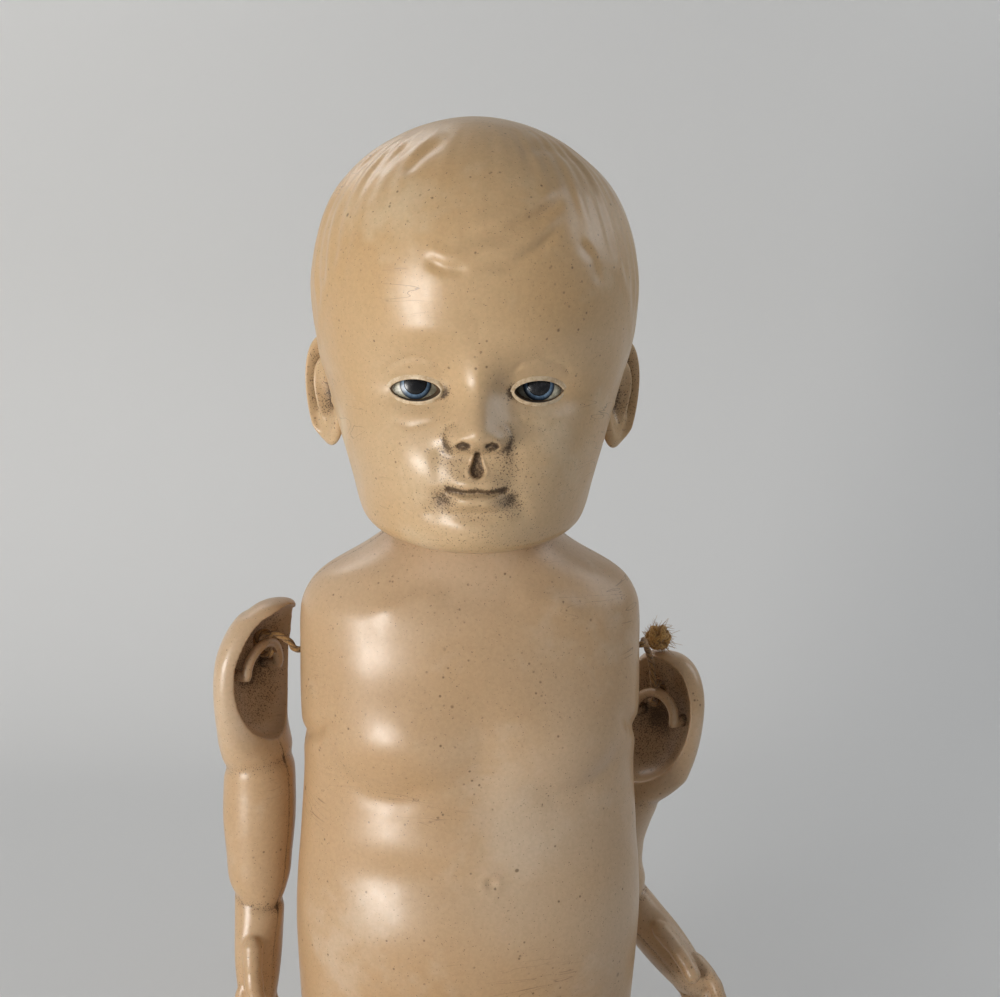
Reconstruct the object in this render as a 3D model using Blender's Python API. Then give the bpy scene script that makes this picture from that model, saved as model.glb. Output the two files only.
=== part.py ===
"""Ball jointed baby doll: hollow shells strung together with twine and elastic.

Metres, +Z up, the doll faces -Y and its left side is at +X.
The origin is the middle of the flat seat, in the plane of the shoulder holes.
"""

import math

import bmesh
import bpy
import numpy as np

# General
WALL = 0.0020
GAP = 0.0003
CUT_OVERRUN = 0.0200
HOLLOW_SPREAD_SHARE = 1.35
HOLLOW_DEPTH_SHARE = 1.20

# Torso
TORSO_HALF_WIDTH = 0.0505
TORSO_FRONT = 0.0380
TORSO_BACK = 0.0375
NECK_BALL_RADIUS = 0.0270
NECK_BALL_BACK = 0.0020
NECK_HOLE_RADIUS = 0.0060
SHOULDER_HOLE_RADIUS = 0.0017
SHOULDER_HOLE_HEIGHT = 0.1570
NECK_ABOVE_SHOULDER = 0.0490
TORSO_HEIGHT = SHOULDER_HOLE_HEIGHT + NECK_ABOVE_SHOULDER
NECK_HEIGHT = TORSO_HEIGHT - NECK_BALL_RADIUS

# Hips
HIP_HEIGHT = 0.0240
HIP_FROM_SIDE = 0.0190
HIP_CENTRE = TORSO_HALF_WIDTH - HIP_FROM_SIDE
HIP_RADIUS = 0.0185
HIP_ROOM = 0.0028
HIP_BALL_INWARD = 0.0175
HIP_BALL_CENTRE = HIP_CENTRE - HIP_BALL_INWARD
CROTCH_EDGE_INWARD = 0.0015
CROTCH_HALF_WIDTH = HIP_BALL_CENTRE - CROTCH_EDGE_INWARD
HIP_BALL_RADIUS = 0.0140
HIP_HOLE_RADIUS = 0.0022
LEG_HOLE_RADIUS = 0.0036
THIGH_RISE_DEGREES = 12.0

# Head
HEAD_HEIGHT = 0.1141
HEAD_HALF_WIDTH = 0.0450
HEAD_FRONT = 0.0480
HEAD_BACK = 0.0520
HEAD_SEAM_BACK = 0.0130
HEAD_RIM_RADIUS = 0.0221
HEAD_RIM_HEIGHT = 0.0160
HEAD_REST_TURN_DEGREES = -3.5
FACE_CROWD_SHARE = 0.56
TILT_SHAPE_SHARE = 1.5

# Ears
EAR_HEIGHT = 0.0320
EAR_DEPTH = 0.0170
EAR_THICKNESS = 0.0072
EAR_UP_SHARE = 0.31
EAR_OUT_SHARE = 0.93
EAR_BACK_SHARE = 0.10
EAR_LEAN_DEGREES = 22.0

# Eyes
EYE_RADIUS = 0.0095
EYE_SPACING = 0.0312
EYE_UP_SHARE = 0.342
LID_SHAPE_SHARE = 1.15
EYE_INSET = 0.0275
EYE_OPENING_WIDTH = 0.0129
EYE_OPENING_HEIGHT = 0.0064
IRIS_RADIUS = 0.0038
IRIS_RISE = 0.0011
IRIS_THICKNESS = 0.0012
PUPIL_RADIUS = 0.00275
PUPIL_THICKNESS = 0.0005

# Arms
ARM_LENGTH = 0.1250
CUP_DEPTH = 0.0125
CUP_HALF_WIDTH = 0.0155
FOREARM_RADIUS = 0.0103
ARM_BEND = 0.0090
DISH_DEPTH = 0.0098
DISH_HALF_WIDTH = 0.0142
DISH_HALF_HEIGHT = 0.0195
CORD_HOLE_RADIUS = 0.0030
RIGHT_ARM_CLEARANCE = 0.0071
LEFT_ARM_CLEARANCE = 0.0055
RIGHT_ARM_REAR = 0.0050
LEFT_ARM_REAR = 0.0160
RIGHT_CUP_DROP = 0.0080
LEFT_CUP_DROP = 0.0285
RIGHT_ARM_TURN_DEGREES = 30.0
LEFT_ARM_TURN_DEGREES = 40.0
ARM_SWAY = 0.0100
ELBOW_LENGTH = 0.0200
ELBOW_START_SHARE = 0.45
LEFT_ELBOW_DEGREES = 42.0
LEFT_ELBOW_AHEAD_DEGREES = 25.0
CUP_MIDDLE_SHARE = 0.830
HAND_SHARE = 0.300
ARCH_RADIUS = 0.0080
ARCH_BAR_RADIUS = 0.0015
ARCH_INSET = 0.0028
FINGER_RADIUS = 0.0026
FINGER_LENGTH = 0.0150
THUMB_RADIUS = 0.0030
THUMB_LENGTH = 0.0170
FINGER_PLACE_SHARES = (-0.46, -0.16, 0.14, 0.43)
FINGER_AHEAD_SHARE = -0.42
FINGER_SHORTER_SHARE = 0.35
FINGER_BURIED_SHARE = 0.60
FINGER_BEYOND_SHARE = 0.40
FINGER_LEAN_SHARE = 0.20
HAND_END_SHARE = 0.030
THUMB_AHEAD_SHARE = -0.25
THUMB_ASIDE_SHARE = -0.40
THUMB_BASE_SHARE = 0.200
THUMB_LEAN_SHARE = 0.25
THUMB_SPREAD_SHARE = 0.12
CORD_HOLE_ASIDE_SHARE = 0.45
CORD_HOLE_DEEPER_SHARE = 0.25
CUTTER_REACH_SHARE = 1.5
ARM_SEAM_STEPS = 40

# Legs
LEG_LENGTH = 0.1060
THIGH_RADIUS = 0.0180
KNEE_OUT = 0.0040
KNEE_RISE = 0.0100
FOOT_LENGTH = 0.0400
FOOT_HALF_WIDTH = 0.0105
FOOT_THICKNESS = 0.0085
FOOT_SET_BACK_SHARE = 0.25
LEG_HOLLOW_SHARE = 0.80
SEAM_OUT_SHARE = 0.30

# Stringing
TWINE_RADIUS = 0.0010
KNOT_RADIUS = 0.0043
ELASTIC_RADIUS = 0.0015
WIRE_RADIUS = 0.0010
DOWEL_RADIUS = 0.0030
DOWEL_RISE = 0.0372
HOOK_HALF_LENGTH = 0.0100
HOOK_HALF_HEIGHT = 0.0062
HOOK_START_DEGREES = -82.0
HOOK_SWEEP_DEGREES = 344.0
HOOK_SQUARE_SHARE = 0.7
LEG_HOOK_DROP_SHARE = 2.4
TWINE_SAG_SHARE = 0.05
TWINE_BEHIND_SHARE = 0.70
TWINE_TURN_SHARE = 0.40
ARM_DROP_SHARE = 0.35

# Mesh resolution
AROUND = {"torso": 34, "head": 54, "arm": 14, "leg": 14}
CORE_AROUND = {"torso": 16, "head": 20, "arm": 8, "leg": 8}

# The two sides, -1 for the doll's right and 1 for its left
SIDES = (("right", -1), ("left", 1))
HALVES = (("front", -1), ("back", 1))
ARM_OUT = {-1: TORSO_HALF_WIDTH + RIGHT_ARM_CLEARANCE, 1: TORSO_HALF_WIDTH + LEFT_ARM_CLEARANCE}
ARM_REAR = {-1: RIGHT_ARM_REAR, 1: LEFT_ARM_REAR}
CUP_HEIGHT = {-1: SHOULDER_HOLE_HEIGHT - RIGHT_CUP_DROP, 1: SHOULDER_HOLE_HEIGHT - LEFT_CUP_DROP}
ARM_TURN_DEGREES = {-1: RIGHT_ARM_TURN_DEGREES, 1: LEFT_ARM_TURN_DEGREES}

# Looks: colour, roughness and, for the wire, how metallic it is
BODY_LOOK = ((0.50, 0.34, 0.21), 0.32)
HEAD_LOOK = ((0.55, 0.37, 0.21), 0.28)
EYE_LOOK = ((0.36, 0.34, 0.27), 0.15)
IRIS_LOOK = ((0.06, 0.12, 0.20), 0.12)
PUPIL_LOOK = ((0.01, 0.01, 0.012), 0.10)
TWINE_LOOK = ((0.42, 0.27, 0.09), 0.85)
ELASTIC_LOOK = ((0.62, 0.58, 0.50), 0.75)
WIRE_LOOK = ((0.35, 0.33, 0.30), 0.35, 1.0)
WOOD_LOOK = ((0.50, 0.34, 0.18), 0.60)

# Rows from the seat up: height, half width, front depth, back depth, each a share of the torso's own
TORSO_RING_SHARES = [
    (0.000, 0.56, 0.42, 0.72),
    (0.012, 0.68, 0.54, 0.82),
    (0.045, 0.82, 0.68, 0.92),
    (0.100, 0.92, 0.80, 0.99),
    (0.165, 0.965, 0.88, 1.00),
    (0.225, 0.975, 0.94, 0.97),
    (0.300, 0.990, 0.98, 0.93),
    (0.380, 1.000, 1.00, 0.89),
    (0.450, 0.990, 0.96, 0.86),
    (0.515, 0.970, 0.92, 0.85),
    (0.570, 0.955, 0.86, 0.85),
    (0.615, 0.950, 0.86, 0.86),
    (0.665, 0.960, 0.92, 0.87),
    (0.715, 0.968, 0.91, 0.88),
    (0.770, 0.970, 0.84, 0.88),
    (0.810, 0.968, 0.77, 0.85),
    (0.838, 0.950, 0.72, 0.80),
    (0.866, 0.885, 0.65, 0.75),
    (0.893, 0.760, 0.61, 0.72),
]

# Rows from the neck rim up: height, half width, front, back, how far the front drops and the back rises
HEAD_RING_SHARES = [
    (0.039, 0.50, 0.43, 0.48, 0.000, 0.000),
    (0.041, 0.61, 0.66, 0.55, -0.033, 0.013),
    (0.061, 0.68, 0.80, 0.62, -0.042, 0.022),
    (0.096, 0.73, 0.86, 0.73, -0.039, 0.022),
    (0.145, 0.77, 0.885, 0.83, -0.026, 0.018),
    (0.206, 0.81, 0.895, 0.91, -0.018, 0.009),
    (0.276, 0.85, 0.895, 0.96, -0.009, 0.000),
    (0.355, 0.90, 0.895, 0.99, 0.000, 0.000),
    (0.443, 0.955, 0.93, 1.00, 0.000, 0.000),
    (0.530, 0.990, 0.98, 1.00, 0.000, 0.000),
    (0.618, 1.000, 1.00, 0.985, 0.000, 0.000),
    (0.706, 0.965, 0.98, 0.95, 0.000, 0.000),
    (0.785, 0.900, 0.91, 0.885, 0.000, 0.000),
    (0.855, 0.790, 0.80, 0.79, 0.000, 0.000),
    (0.916, 0.620, 0.64, 0.645, 0.000, 0.000),
    (0.964, 0.415, 0.44, 0.445, 0.000, 0.000),
    (0.991, 0.205, 0.22, 0.23, 0.000, 0.000),
    (1.000, 0.000, 0.02, -0.02, 0.000, 0.000),
]

# Forms of the face: side and height of the middle, half spreads, and rise, as shares of the head's
# half width, height, half width, height and front depth
FACE_FORM_SHARES = [
    (0.000, 0.292, 0.082, 0.031, 0.155),
    (0.000, 0.365, 0.070, 0.062, 0.055),
    (-0.120, 0.277, 0.042, 0.019, 0.072),
    (0.120, 0.277, 0.042, 0.019, 0.072),
    (-0.355, 0.390, 0.180, 0.051, -0.104),
    (0.355, 0.390, 0.180, 0.051, -0.104),
    (-0.170, 0.398, 0.058, 0.031, -0.028),
    (0.170, 0.398, 0.058, 0.031, -0.028),
    (-0.465, 0.214, 0.212, 0.074, 0.081),
    (0.465, 0.214, 0.212, 0.074, 0.081),
    (0.000, 0.175, 0.190, 0.052, 0.056),
    (0.000, 0.186, 0.120, 0.015, 0.030),
    (0.000, 0.160, 0.135, 0.009, -0.034),
    (0.000, 0.136, 0.105, 0.013, 0.040),
    (0.000, 0.108, 0.133, 0.014, -0.036),
    (0.000, 0.062, 0.150, 0.034, 0.068),
    (-0.207, 0.155, 0.036, 0.018, -0.030),
    (0.207, 0.155, 0.036, 0.018, -0.030),
]

# Forms of the chest and the belly, in the same order, as shares of the torso's half width, height,
# half width, height and front depth
CHEST_FORM_SHARES = [
    (-0.465, 0.675, 0.215, 0.048, 0.058),
    (0.465, 0.675, 0.215, 0.048, 0.058),
    (-0.465, 0.597, 0.190, 0.013, -0.036),
    (0.465, 0.597, 0.190, 0.013, -0.036),
    (0.000, 0.690, 0.100, 0.076, -0.021),
    (0.000, 0.556, 0.420, 0.030, 0.034),
    (0.000, 0.500, 0.580, 0.017, -0.030),
    (0.000, 0.422, 0.500, 0.045, 0.034),
]

# Rows from the shoulder down: height, the opening side and the far side of the cup, half width, and
# forward bend, as shares of the arm's length, cup depth, cup depth, cup half width and bend
ARM_RING_SHARES = [
    (1.000, -0.28, 0.28, 0.00, 0.00),
    (0.990, 0.02, 0.68, 0.40, 0.00),
    (0.960, 0.10, 0.94, 0.68, 0.00),
    (0.905, 0.10, 1.09, 0.91, 0.00),
    (0.835, 0.08, 1.12, 1.00, 0.00),
    (0.760, 0.08, 1.12, 0.98, 0.00),
    (0.690, 0.14, 1.11, 0.88, 0.00),
    (0.635, 0.36, 1.10, 0.76, 0.00),
    (0.600, 0.46, 1.09, 0.70, 0.02),
    (0.560, 0.49, 1.12, 0.68, 0.06),
    (0.470, 0.46, 1.13, 0.66, 0.20),
    (0.370, 0.34, 1.06, 0.59, 0.38),
    (0.295, 0.20, 0.94, 0.48, 0.52),
    (0.255, 0.18, 0.92, 0.50, 0.60),
    (0.180, 0.06, 0.84, 0.60, 0.76),
    (0.110, -0.02, 0.76, 0.58, 0.90),
    (0.040, -0.10, 0.66, 0.44, 1.00),
    (0.010, -0.22, 0.52, 0.22, 1.04),
    (0.000, -0.36, 0.38, 0.00, 1.05),
]

# How each arm sways from a straight line, from the finger tips up: height, outward and backward shift,
# as shares of the arm's length and of the sway
RIGHT_SWAY_SHARES = [
    (-0.20, 0.00, 0.00),
    (0.300, 0.00, 0.00),
    (0.500, 0.03, 0.00),
    (0.660, 0.03, 0.00),
    (0.835, 0.00, 0.00),
    (0.905, -0.12, 0.00),
    (0.960, -0.28, 0.00),
    (1.000, -0.50, 0.00),
    (1.200, -0.50, 0.00),
]
LEFT_SWAY_SHARES = [
    (-0.20, -1.10, 1.20),
    (0.400, -1.10, 1.20),
    (0.450, -1.10, 1.20),
    (0.500, -1.05, 1.10),
    (0.600, -0.70, 0.60),
    (0.660, -0.35, 0.25),
    (0.700, -0.20, 0.10),
    (0.835, 0.00, 0.00),
    (0.905, 0.12, 0.00),
    (1.000, 0.30, 0.00),
    (1.200, 0.50, 0.00),
]
FOOT_EASE_SHARE = 1.00

# Rows from the back of the hip to the ankle: along, half width, half height, outward and upward, as
# shares of the leg's length, thigh radius, thigh radius, knee's place out and knee's rise
LEG_RING_SHARES = [
    (0.000, 0.00, 0.00, 0.00, 0.00),
    (0.010, 0.42, 0.42, 0.00, 0.00),
    (0.040, 0.72, 0.72, 0.00, 0.00),
    (0.090, 0.93, 0.93, 0.00, 0.00),
    (0.150, 1.00, 1.00, 0.00, 0.00),
    (0.230, 0.99, 1.00, 0.05, 0.02),
    (0.330, 0.97, 0.99, 0.25, 0.12),
    (0.440, 0.93, 0.96, 0.55, 0.45),
    (0.540, 0.86, 0.90, 0.85, 0.80),
    (0.630, 0.80, 0.84, 1.00, 0.90),
    (0.720, 0.78, 0.82, 0.95, 0.62),
    (0.810, 0.72, 0.76, 0.70, 0.20),
    (0.890, 0.60, 0.64, 0.42, -0.25),
    (0.950, 0.52, 0.54, 0.22, -0.55),
    (0.985, 0.44, 0.44, 0.12, -0.80),
    (1.000, 0.00, 0.00, 0.08, -0.95),
]

# Rows from the heel to the toes: along, half width, half thickness and lean
FOOT_RING_SHARES = [
    (0.000, 0.00, 0.00, 0.10),
    (0.030, 0.42, 0.50, 0.08),
    (0.120, 0.66, 0.86, 0.02),
    (0.300, 0.74, 1.00, 0.00),
    (0.520, 0.86, 0.86, 0.06),
    (0.740, 1.00, 0.72, 0.14),
    (0.900, 0.94, 0.56, 0.16),
    (0.980, 0.60, 0.36, 0.14),
    (1.000, 0.00, 0.00, 0.12),
]


def start_empty():
    """Removes what the scene holds."""
    for thing in list(bpy.data.objects):
        bpy.data.objects.remove(thing, do_unlink=True)


def make_material(name, colour, roughness, metallic=0.0):
    """A Principled material with one colour."""
    material = bpy.data.materials.new(name)
    material.use_nodes = True
    shader = material.node_tree.nodes["Principled BSDF"]
    shader.inputs["Base Color"].default_value = (*colour, 1.0)
    shader.inputs["Roughness"].default_value = roughness
    shader.inputs["Metallic"].default_value = metallic
    material.diffuse_color = (*colour, 1.0)
    return material


def add_object(name, mesh, look, parent=None, place=(0.0, 0.0, 0.0)):
    """Links a mesh as an object of its own material."""
    thing = bpy.data.objects.new(name, mesh)
    bpy.context.scene.collection.objects.link(thing)
    thing.location = place
    thing.parent = parent
    if look is not None:
        mesh.materials.append(make_material(name + "_finish", *look))
    mesh.shade_smooth()
    return thing


def add_empty(name, place, turn_degrees=0.0, parent=None):
    """A joint's centre, turned about the vertical."""
    thing = bpy.data.objects.new(name, None)
    bpy.context.scene.collection.objects.link(thing)
    thing.location = place
    thing.rotation_euler = (0.0, 0.0, math.radians(turn_degrees))
    thing.parent = parent
    return thing


def hide_cutter(thing):
    """A cutter is left out of the model."""
    thing.hide_render = True
    thing.display_type = "WIRE"
    return thing


def between_rows(rows, steps, crowd_share=0.0, middle_share=0.5):
    """Catmull-Rom values between the rows of a table, at places that crowd about a middle of it."""
    table = np.array(rows, dtype=float)
    last = len(table) - 1
    fine = np.linspace(0.0, 1.0, 201)
    density = 1.0 + crowd_share * np.exp(-(((fine - middle_share) / 0.18) ** 2))
    total = np.concatenate([[0.0], np.cumsum(0.5 * (density[1:] + density[:-1]))])
    place = last * np.interp(np.linspace(0.0, total[-1], steps), total, fine)
    first = np.clip(np.floor(place).astype(int), 0, last - 1)
    part = (place - first)[:, None]
    before = table[np.maximum(first - 1, 0)]
    start = table[first]
    end = table[first + 1]
    after = table[np.minimum(first + 2, last)]
    rise_start = 0.5 * (end - before)
    rise_end = 0.5 * (after - start)
    square = part * part
    cube = square * part
    return (
        (2 * cube - 3 * square + 1) * start
        + (cube - 2 * square + part) * rise_start
        + (3 * square - 2 * cube) * end
        + (cube - square) * rise_end
    )


def grid_normals(points):
    """Outward normals of a grid of rings, which run anticlockwise seen from the last ring's end."""
    along = np.gradient(points, axis=0)
    around = np.roll(points, -1, axis=1) - np.roll(points, 1, axis=1)
    normals = np.cross(around, along)
    length = np.linalg.norm(normals, axis=2, keepdims=True)
    return normals / np.maximum(length, 1e-12)


def inset_grid(points, wall):
    """The same rings moved in by the wall, with the ends drawn in along the axis."""
    inner = points - wall * grid_normals(points)
    for end, neighbour in ((0, 1), (-1, -2)):
        middle = points[end].mean(axis=0)
        inward = points[neighbour].mean(axis=0) - middle
        reach = np.linalg.norm(inward)
        inner[end] = middle + inward / max(reach, 1e-9) * wall
    return inner


def grid_mesh(name, points, flip=False):
    """A closed mesh over rings of points, with a fan or a flat cap on each end."""
    rings, around, _ = points.shape
    vertices = []
    faces = []
    index = []
    for ring in points:
        spread = np.ptp(ring, axis=0).max()
        start = len(vertices)
        if spread < 1e-7:
            vertices.append(tuple(ring.mean(axis=0)))
            index.append([start] * around)
        else:
            vertices.extend(map(tuple, ring))
            index.append(list(range(start, start + around)))
    for ring in range(rings - 1):
        for step in range(around):
            following = (step + 1) % around
            corners = [
                index[ring][step],
                index[ring][following],
                index[ring + 1][following],
                index[ring + 1][step],
            ]
            face = list(dict.fromkeys(corners))
            if len(face) > 2:
                faces.append(face)
    if index[0][0] != index[0][1]:
        faces.append(index[0][::-1])
    if index[-1][0] != index[-1][1]:
        faces.append(index[-1])
    if flip:
        faces = [face[::-1] for face in faces]
    mesh = bpy.data.meshes.new(name)
    mesh.from_pydata(vertices, [], faces)
    mesh.validate()
    return mesh


def ring_angles(around):
    """Angles of a ring's points, from the front and turning to the doll's left."""
    return np.linspace(0.0, 2.0 * math.pi, around, endpoint=False)


def boolean(thing, cutter, operation="DIFFERENCE"):
    """An exact Boolean with another object."""
    modifier = thing.modifiers.new(operation.lower(), "BOOLEAN")
    modifier.operation = operation
    modifier.solver = "EXACT"
    modifier.object = cutter


def cylinder_mesh(name, radius, start, end, sides=24):
    """A closed cylinder from one point to another."""
    start = np.array(start, dtype=float)
    end = np.array(end, dtype=float)
    return tube_mesh(name, [start, end], radius, sides)


def tube_mesh(name, points, radius, sides=8):
    """A closed round tube through the points, its ring frame carried along without twist."""
    points = np.array(points, dtype=float)
    tangents = np.gradient(points, axis=0)
    tangents /= np.linalg.norm(tangents, axis=1, keepdims=True)
    first = np.cross(tangents[0], (0.0, 0.0, 1.0))
    if np.linalg.norm(first) < 0.1:
        first = np.cross(tangents[0], (1.0, 0.0, 0.0))
    first /= np.linalg.norm(first)
    angles = ring_angles(sides)
    rings = []
    for point, tangent in zip(points, tangents):
        first = first - tangent * np.dot(first, tangent)
        first /= np.linalg.norm(first)
        second = np.cross(tangent, first)
        ring = point + radius * (np.outer(np.cos(angles), first) + np.outer(np.sin(angles), second))
        rings.append(ring)
    return grid_mesh(name, np.array(rings))


def ball_points(centre, radii, around, rings):
    """Rings of an ellipsoid from its lowest point up."""
    climb = np.linspace(-0.5 * math.pi, 0.5 * math.pi, rings)[:, None]
    angles = ring_angles(around)[None, :]
    return np.stack(
        [
            centre[0] + radii[0] * np.cos(climb) * np.sin(angles),
            centre[1] - radii[1] * np.cos(climb) * np.cos(angles),
            centre[2] + radii[2] * np.sin(climb) * np.ones_like(angles),
        ],
        axis=2,
    )


def ball_cutter(name, centre, radii, parent=None, around=14, rings=9):
    """An ellipsoid that cuts or is joined to other pieces."""
    mesh = grid_mesh(name, ball_points(centre, radii, around, rings))
    return hide_cutter(add_object(name, mesh, None, parent))


def cylinder_cutter(name, radius, start, end, parent=None, sides=24):
    """A cylinder that cuts other pieces."""
    mesh = cylinder_mesh(name, radius, start, end, sides)
    return hide_cutter(add_object(name, mesh, None, parent))


def box_cutter(name, low, high, parent=None):
    """A box that cuts other pieces."""
    mesh = bpy.data.meshes.new(name)
    shape = bmesh.new()
    bmesh.ops.create_cube(shape, size=1.0)
    for corner in shape.verts:
        for axis in range(3):
            share = corner.co[axis] + 0.5
            corner.co[axis] = low[axis] + share * (high[axis] - low[axis])
    shape.to_mesh(mesh)
    shape.free()
    return hide_cutter(add_object(name, mesh, None, parent))


def form_rise(x, z, forms, hollow):
    """How far the forms of a table stand out at shares across and up; a hollow follows the sunken ones."""
    rise = np.zeros_like(x)
    for across, up, wide, tall, height in forms:
        if hollow:
            wide = wide * HOLLOW_SPREAD_SHARE
            tall = tall * HOLLOW_SPREAD_SHARE
            height = min(height, 0.0) * HOLLOW_DEPTH_SHARE
        far = ((x - across) / wide) ** 2 + ((z - up) / tall) ** 2
        rise = rise + height * np.exp(-0.5 * far)
    return rise


def torso_half_width(height):
    """Half the torso's width at a height."""
    rows = between_rows(TORSO_RING_SHARES, 60)
    return np.interp(height / TORSO_HEIGHT, rows[:, 0], rows[:, 1]) * TORSO_HALF_WIDTH


def torso_points(around, rings, hollow=False):
    """Rings of the torso from the flat seat to the top of the neck ball."""
    body = between_rows(TORSO_RING_SHARES, rings)
    last = body[-1, 0] * TORSO_HEIGHT
    start_climb = math.asin((last + WALL - NECK_HEIGHT) / NECK_BALL_RADIUS)
    climb = np.linspace(start_climb, 0.5 * math.pi, rings // 3)
    ball_width = NECK_BALL_RADIUS * np.cos(climb)
    heights = np.concatenate([body[:, 0] * TORSO_HEIGHT, NECK_HEIGHT + NECK_BALL_RADIUS * np.sin(climb)])
    half_widths = np.concatenate([body[:, 1] * TORSO_HALF_WIDTH, ball_width])
    fronts = np.concatenate([body[:, 2] * TORSO_FRONT, ball_width - NECK_BALL_BACK])
    backs = np.concatenate([body[:, 3] * TORSO_BACK, ball_width + NECK_BALL_BACK])
    angles = ring_angles(around)
    side = np.sin(angles)
    ahead = np.cos(angles)
    x = half_widths[:, None] * side
    y = 0.5 * (backs - fronts)[:, None] - 0.5 * (backs + fronts)[:, None] * ahead
    z = heights[:, None] * np.ones_like(side)
    rise = form_rise(x / TORSO_HALF_WIDTH, z / TORSO_HEIGHT, CHEST_FORM_SHARES, hollow)
    y = y - TORSO_FRONT * rise * np.clip(2.0 * ahead, 0.0, 1.0)
    return np.stack([x, y, z], axis=2)


def hip_cutter(name, side, growth):
    """The room for one leg: round behind the hip, open below and in front."""
    low = side * (CROTCH_HALF_WIDTH - growth)
    far = side * (TORSO_HALF_WIDTH + CUT_OVERRUN)
    radius = HIP_RADIUS + HIP_ROOM + growth
    below = -CUT_OVERRUN
    ahead = -(TORSO_FRONT + CUT_OVERRUN)
    rise = math.tan(math.radians(THIGH_RISE_DEGREES))
    outline = [(ahead, below), (radius, below)]
    for step in range(9):
        angle = 0.5 * math.pi * step / 8
        outline.append((radius * math.cos(angle), HIP_HEIGHT + radius * math.sin(angle)))
    outline.append((ahead, HIP_HEIGHT + radius - ahead * rise))
    mesh = bpy.data.meshes.new(name)
    shape = bmesh.new()
    corners = [shape.verts.new((low, y, z)) for y, z in outline]
    face = shape.faces.new(corners)
    moved = bmesh.ops.extrude_face_region(shape, geom=[face])
    for corner in moved["geom"]:
        if isinstance(corner, bmesh.types.BMVert):
            corner.co.x = far
    bmesh.ops.recalc_face_normals(shape, faces=shape.faces)
    shape.to_mesh(mesh)
    shape.free()
    return hide_cutter(add_object(name, mesh, None))


def make_torso():
    """Front and back shells with the neck ball, shoulder holes and hip balls."""
    outer = torso_points(AROUND["torso"], 27)
    core_points = inset_grid(torso_points(CORE_AROUND["torso"], 13, hollow=True), WALL)
    core = hide_cutter(add_object("torso_core", grid_mesh("torso_core", core_points), None))
    for word, side in SIDES:
        boolean(core, hip_cutter(word + "_hip_wall", side, WALL))
    hip_rooms = [hip_cutter(word + "_hip_room", side, 0.0) for word, side in SIDES]
    balls = []
    for word, side in SIDES:
        centre = (side * HIP_BALL_CENTRE, 0.0, HIP_HEIGHT)
        balls.append(ball_cutter(word + "_hip_ball", centre, (HIP_BALL_RADIUS,) * 3))
    across = TORSO_HALF_WIDTH + CUT_OVERRUN
    holes = [
        cylinder_cutter(
            "elastic_hole", HIP_HOLE_RADIUS, (-across, 0.0, HIP_HEIGHT), (across, 0.0, HIP_HEIGHT), sides=12
        ),
        cylinder_cutter(
            "shoulder_hole",
            SHOULDER_HOLE_RADIUS,
            (-across, 0.0, SHOULDER_HOLE_HEIGHT),
            (across, 0.0, SHOULDER_HOLE_HEIGHT),
            sides=16,
        ),
        cylinder_cutter(
            "neck_hole",
            NECK_HOLE_RADIUS,
            (0.0, NECK_BALL_BACK, NECK_HEIGHT),
            (0.0, NECK_BALL_BACK, TORSO_HEIGHT + CUT_OVERRUN),
            sides=20,
        ),
    ]
    for word, side in HALVES:
        shell = add_object("torso_" + word, grid_mesh("torso_" + word, outer), BODY_LOOK)
        for cutter in hip_rooms:
            boolean(shell, cutter)
        for ball in balls:
            boolean(shell, ball, "UNION")
        boolean(shell, half_cutter("torso_not_" + word, side, 0.0, TORSO_HEIGHT + TORSO_HALF_WIDTH))
        boolean(shell, core)
        for cutter in holes:
            boolean(shell, cutter)


def half_cutter(name, side, seam, reach, parent=None):
    """A box over everything past the seam on the side that a half doesn't keep."""
    near = seam + side * 0.5 * GAP
    far = seam - side * reach
    low = (-reach, min(near, far), -reach)
    high = (reach, max(near, far), 2 * reach)
    return box_cutter(name, low, high, parent)


def face_angles(around):
    """Ring angles that crowd together over the face."""
    angles = ring_angles(around)
    return angles - FACE_CROWD_SHARE * np.sin(angles)


def head_points(around, rings, hollow=False):
    """Rings of the head from the neck rim to the crown, about the neck ball's centre.

    The hollow follows only the sunken forms of the face, a little wider and deeper.
    """
    rows = between_rows(HEAD_RING_SHARES, rings, 1.9, 0.33)
    angles = face_angles(around)
    side = np.sin(angles)
    ahead = np.cos(angles)
    chin = HEAD_RIM_HEIGHT - HEAD_RING_SHARES[0][0] * HEAD_HEIGHT
    half_widths = rows[:, 1:2] * HEAD_HALF_WIDTH
    fronts = rows[:, 2:3] * HEAD_FRONT
    backs = rows[:, 3:4] * HEAD_BACK
    tilt = rows[:, 4:5] * np.maximum(ahead, 0.0) ** TILT_SHAPE_SHARE
    tilt = tilt + rows[:, 5:6] * np.maximum(-ahead, 0.0) ** TILT_SHAPE_SHARE
    x = half_widths * side
    y = 0.5 * (backs - fronts) - 0.5 * (backs + fronts) * ahead - NECK_BALL_BACK
    z = chin + HEAD_HEIGHT * (rows[:, 0:1] + tilt)
    rise = form_rise(x / HEAD_HALF_WIDTH, (z - chin) / HEAD_HEIGHT, FACE_FORM_SHARES, hollow)
    y = y - HEAD_FRONT * rise * np.clip(2.0 * ahead, 0.0, 1.0)
    return np.stack([x, y, z], axis=2)


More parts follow.
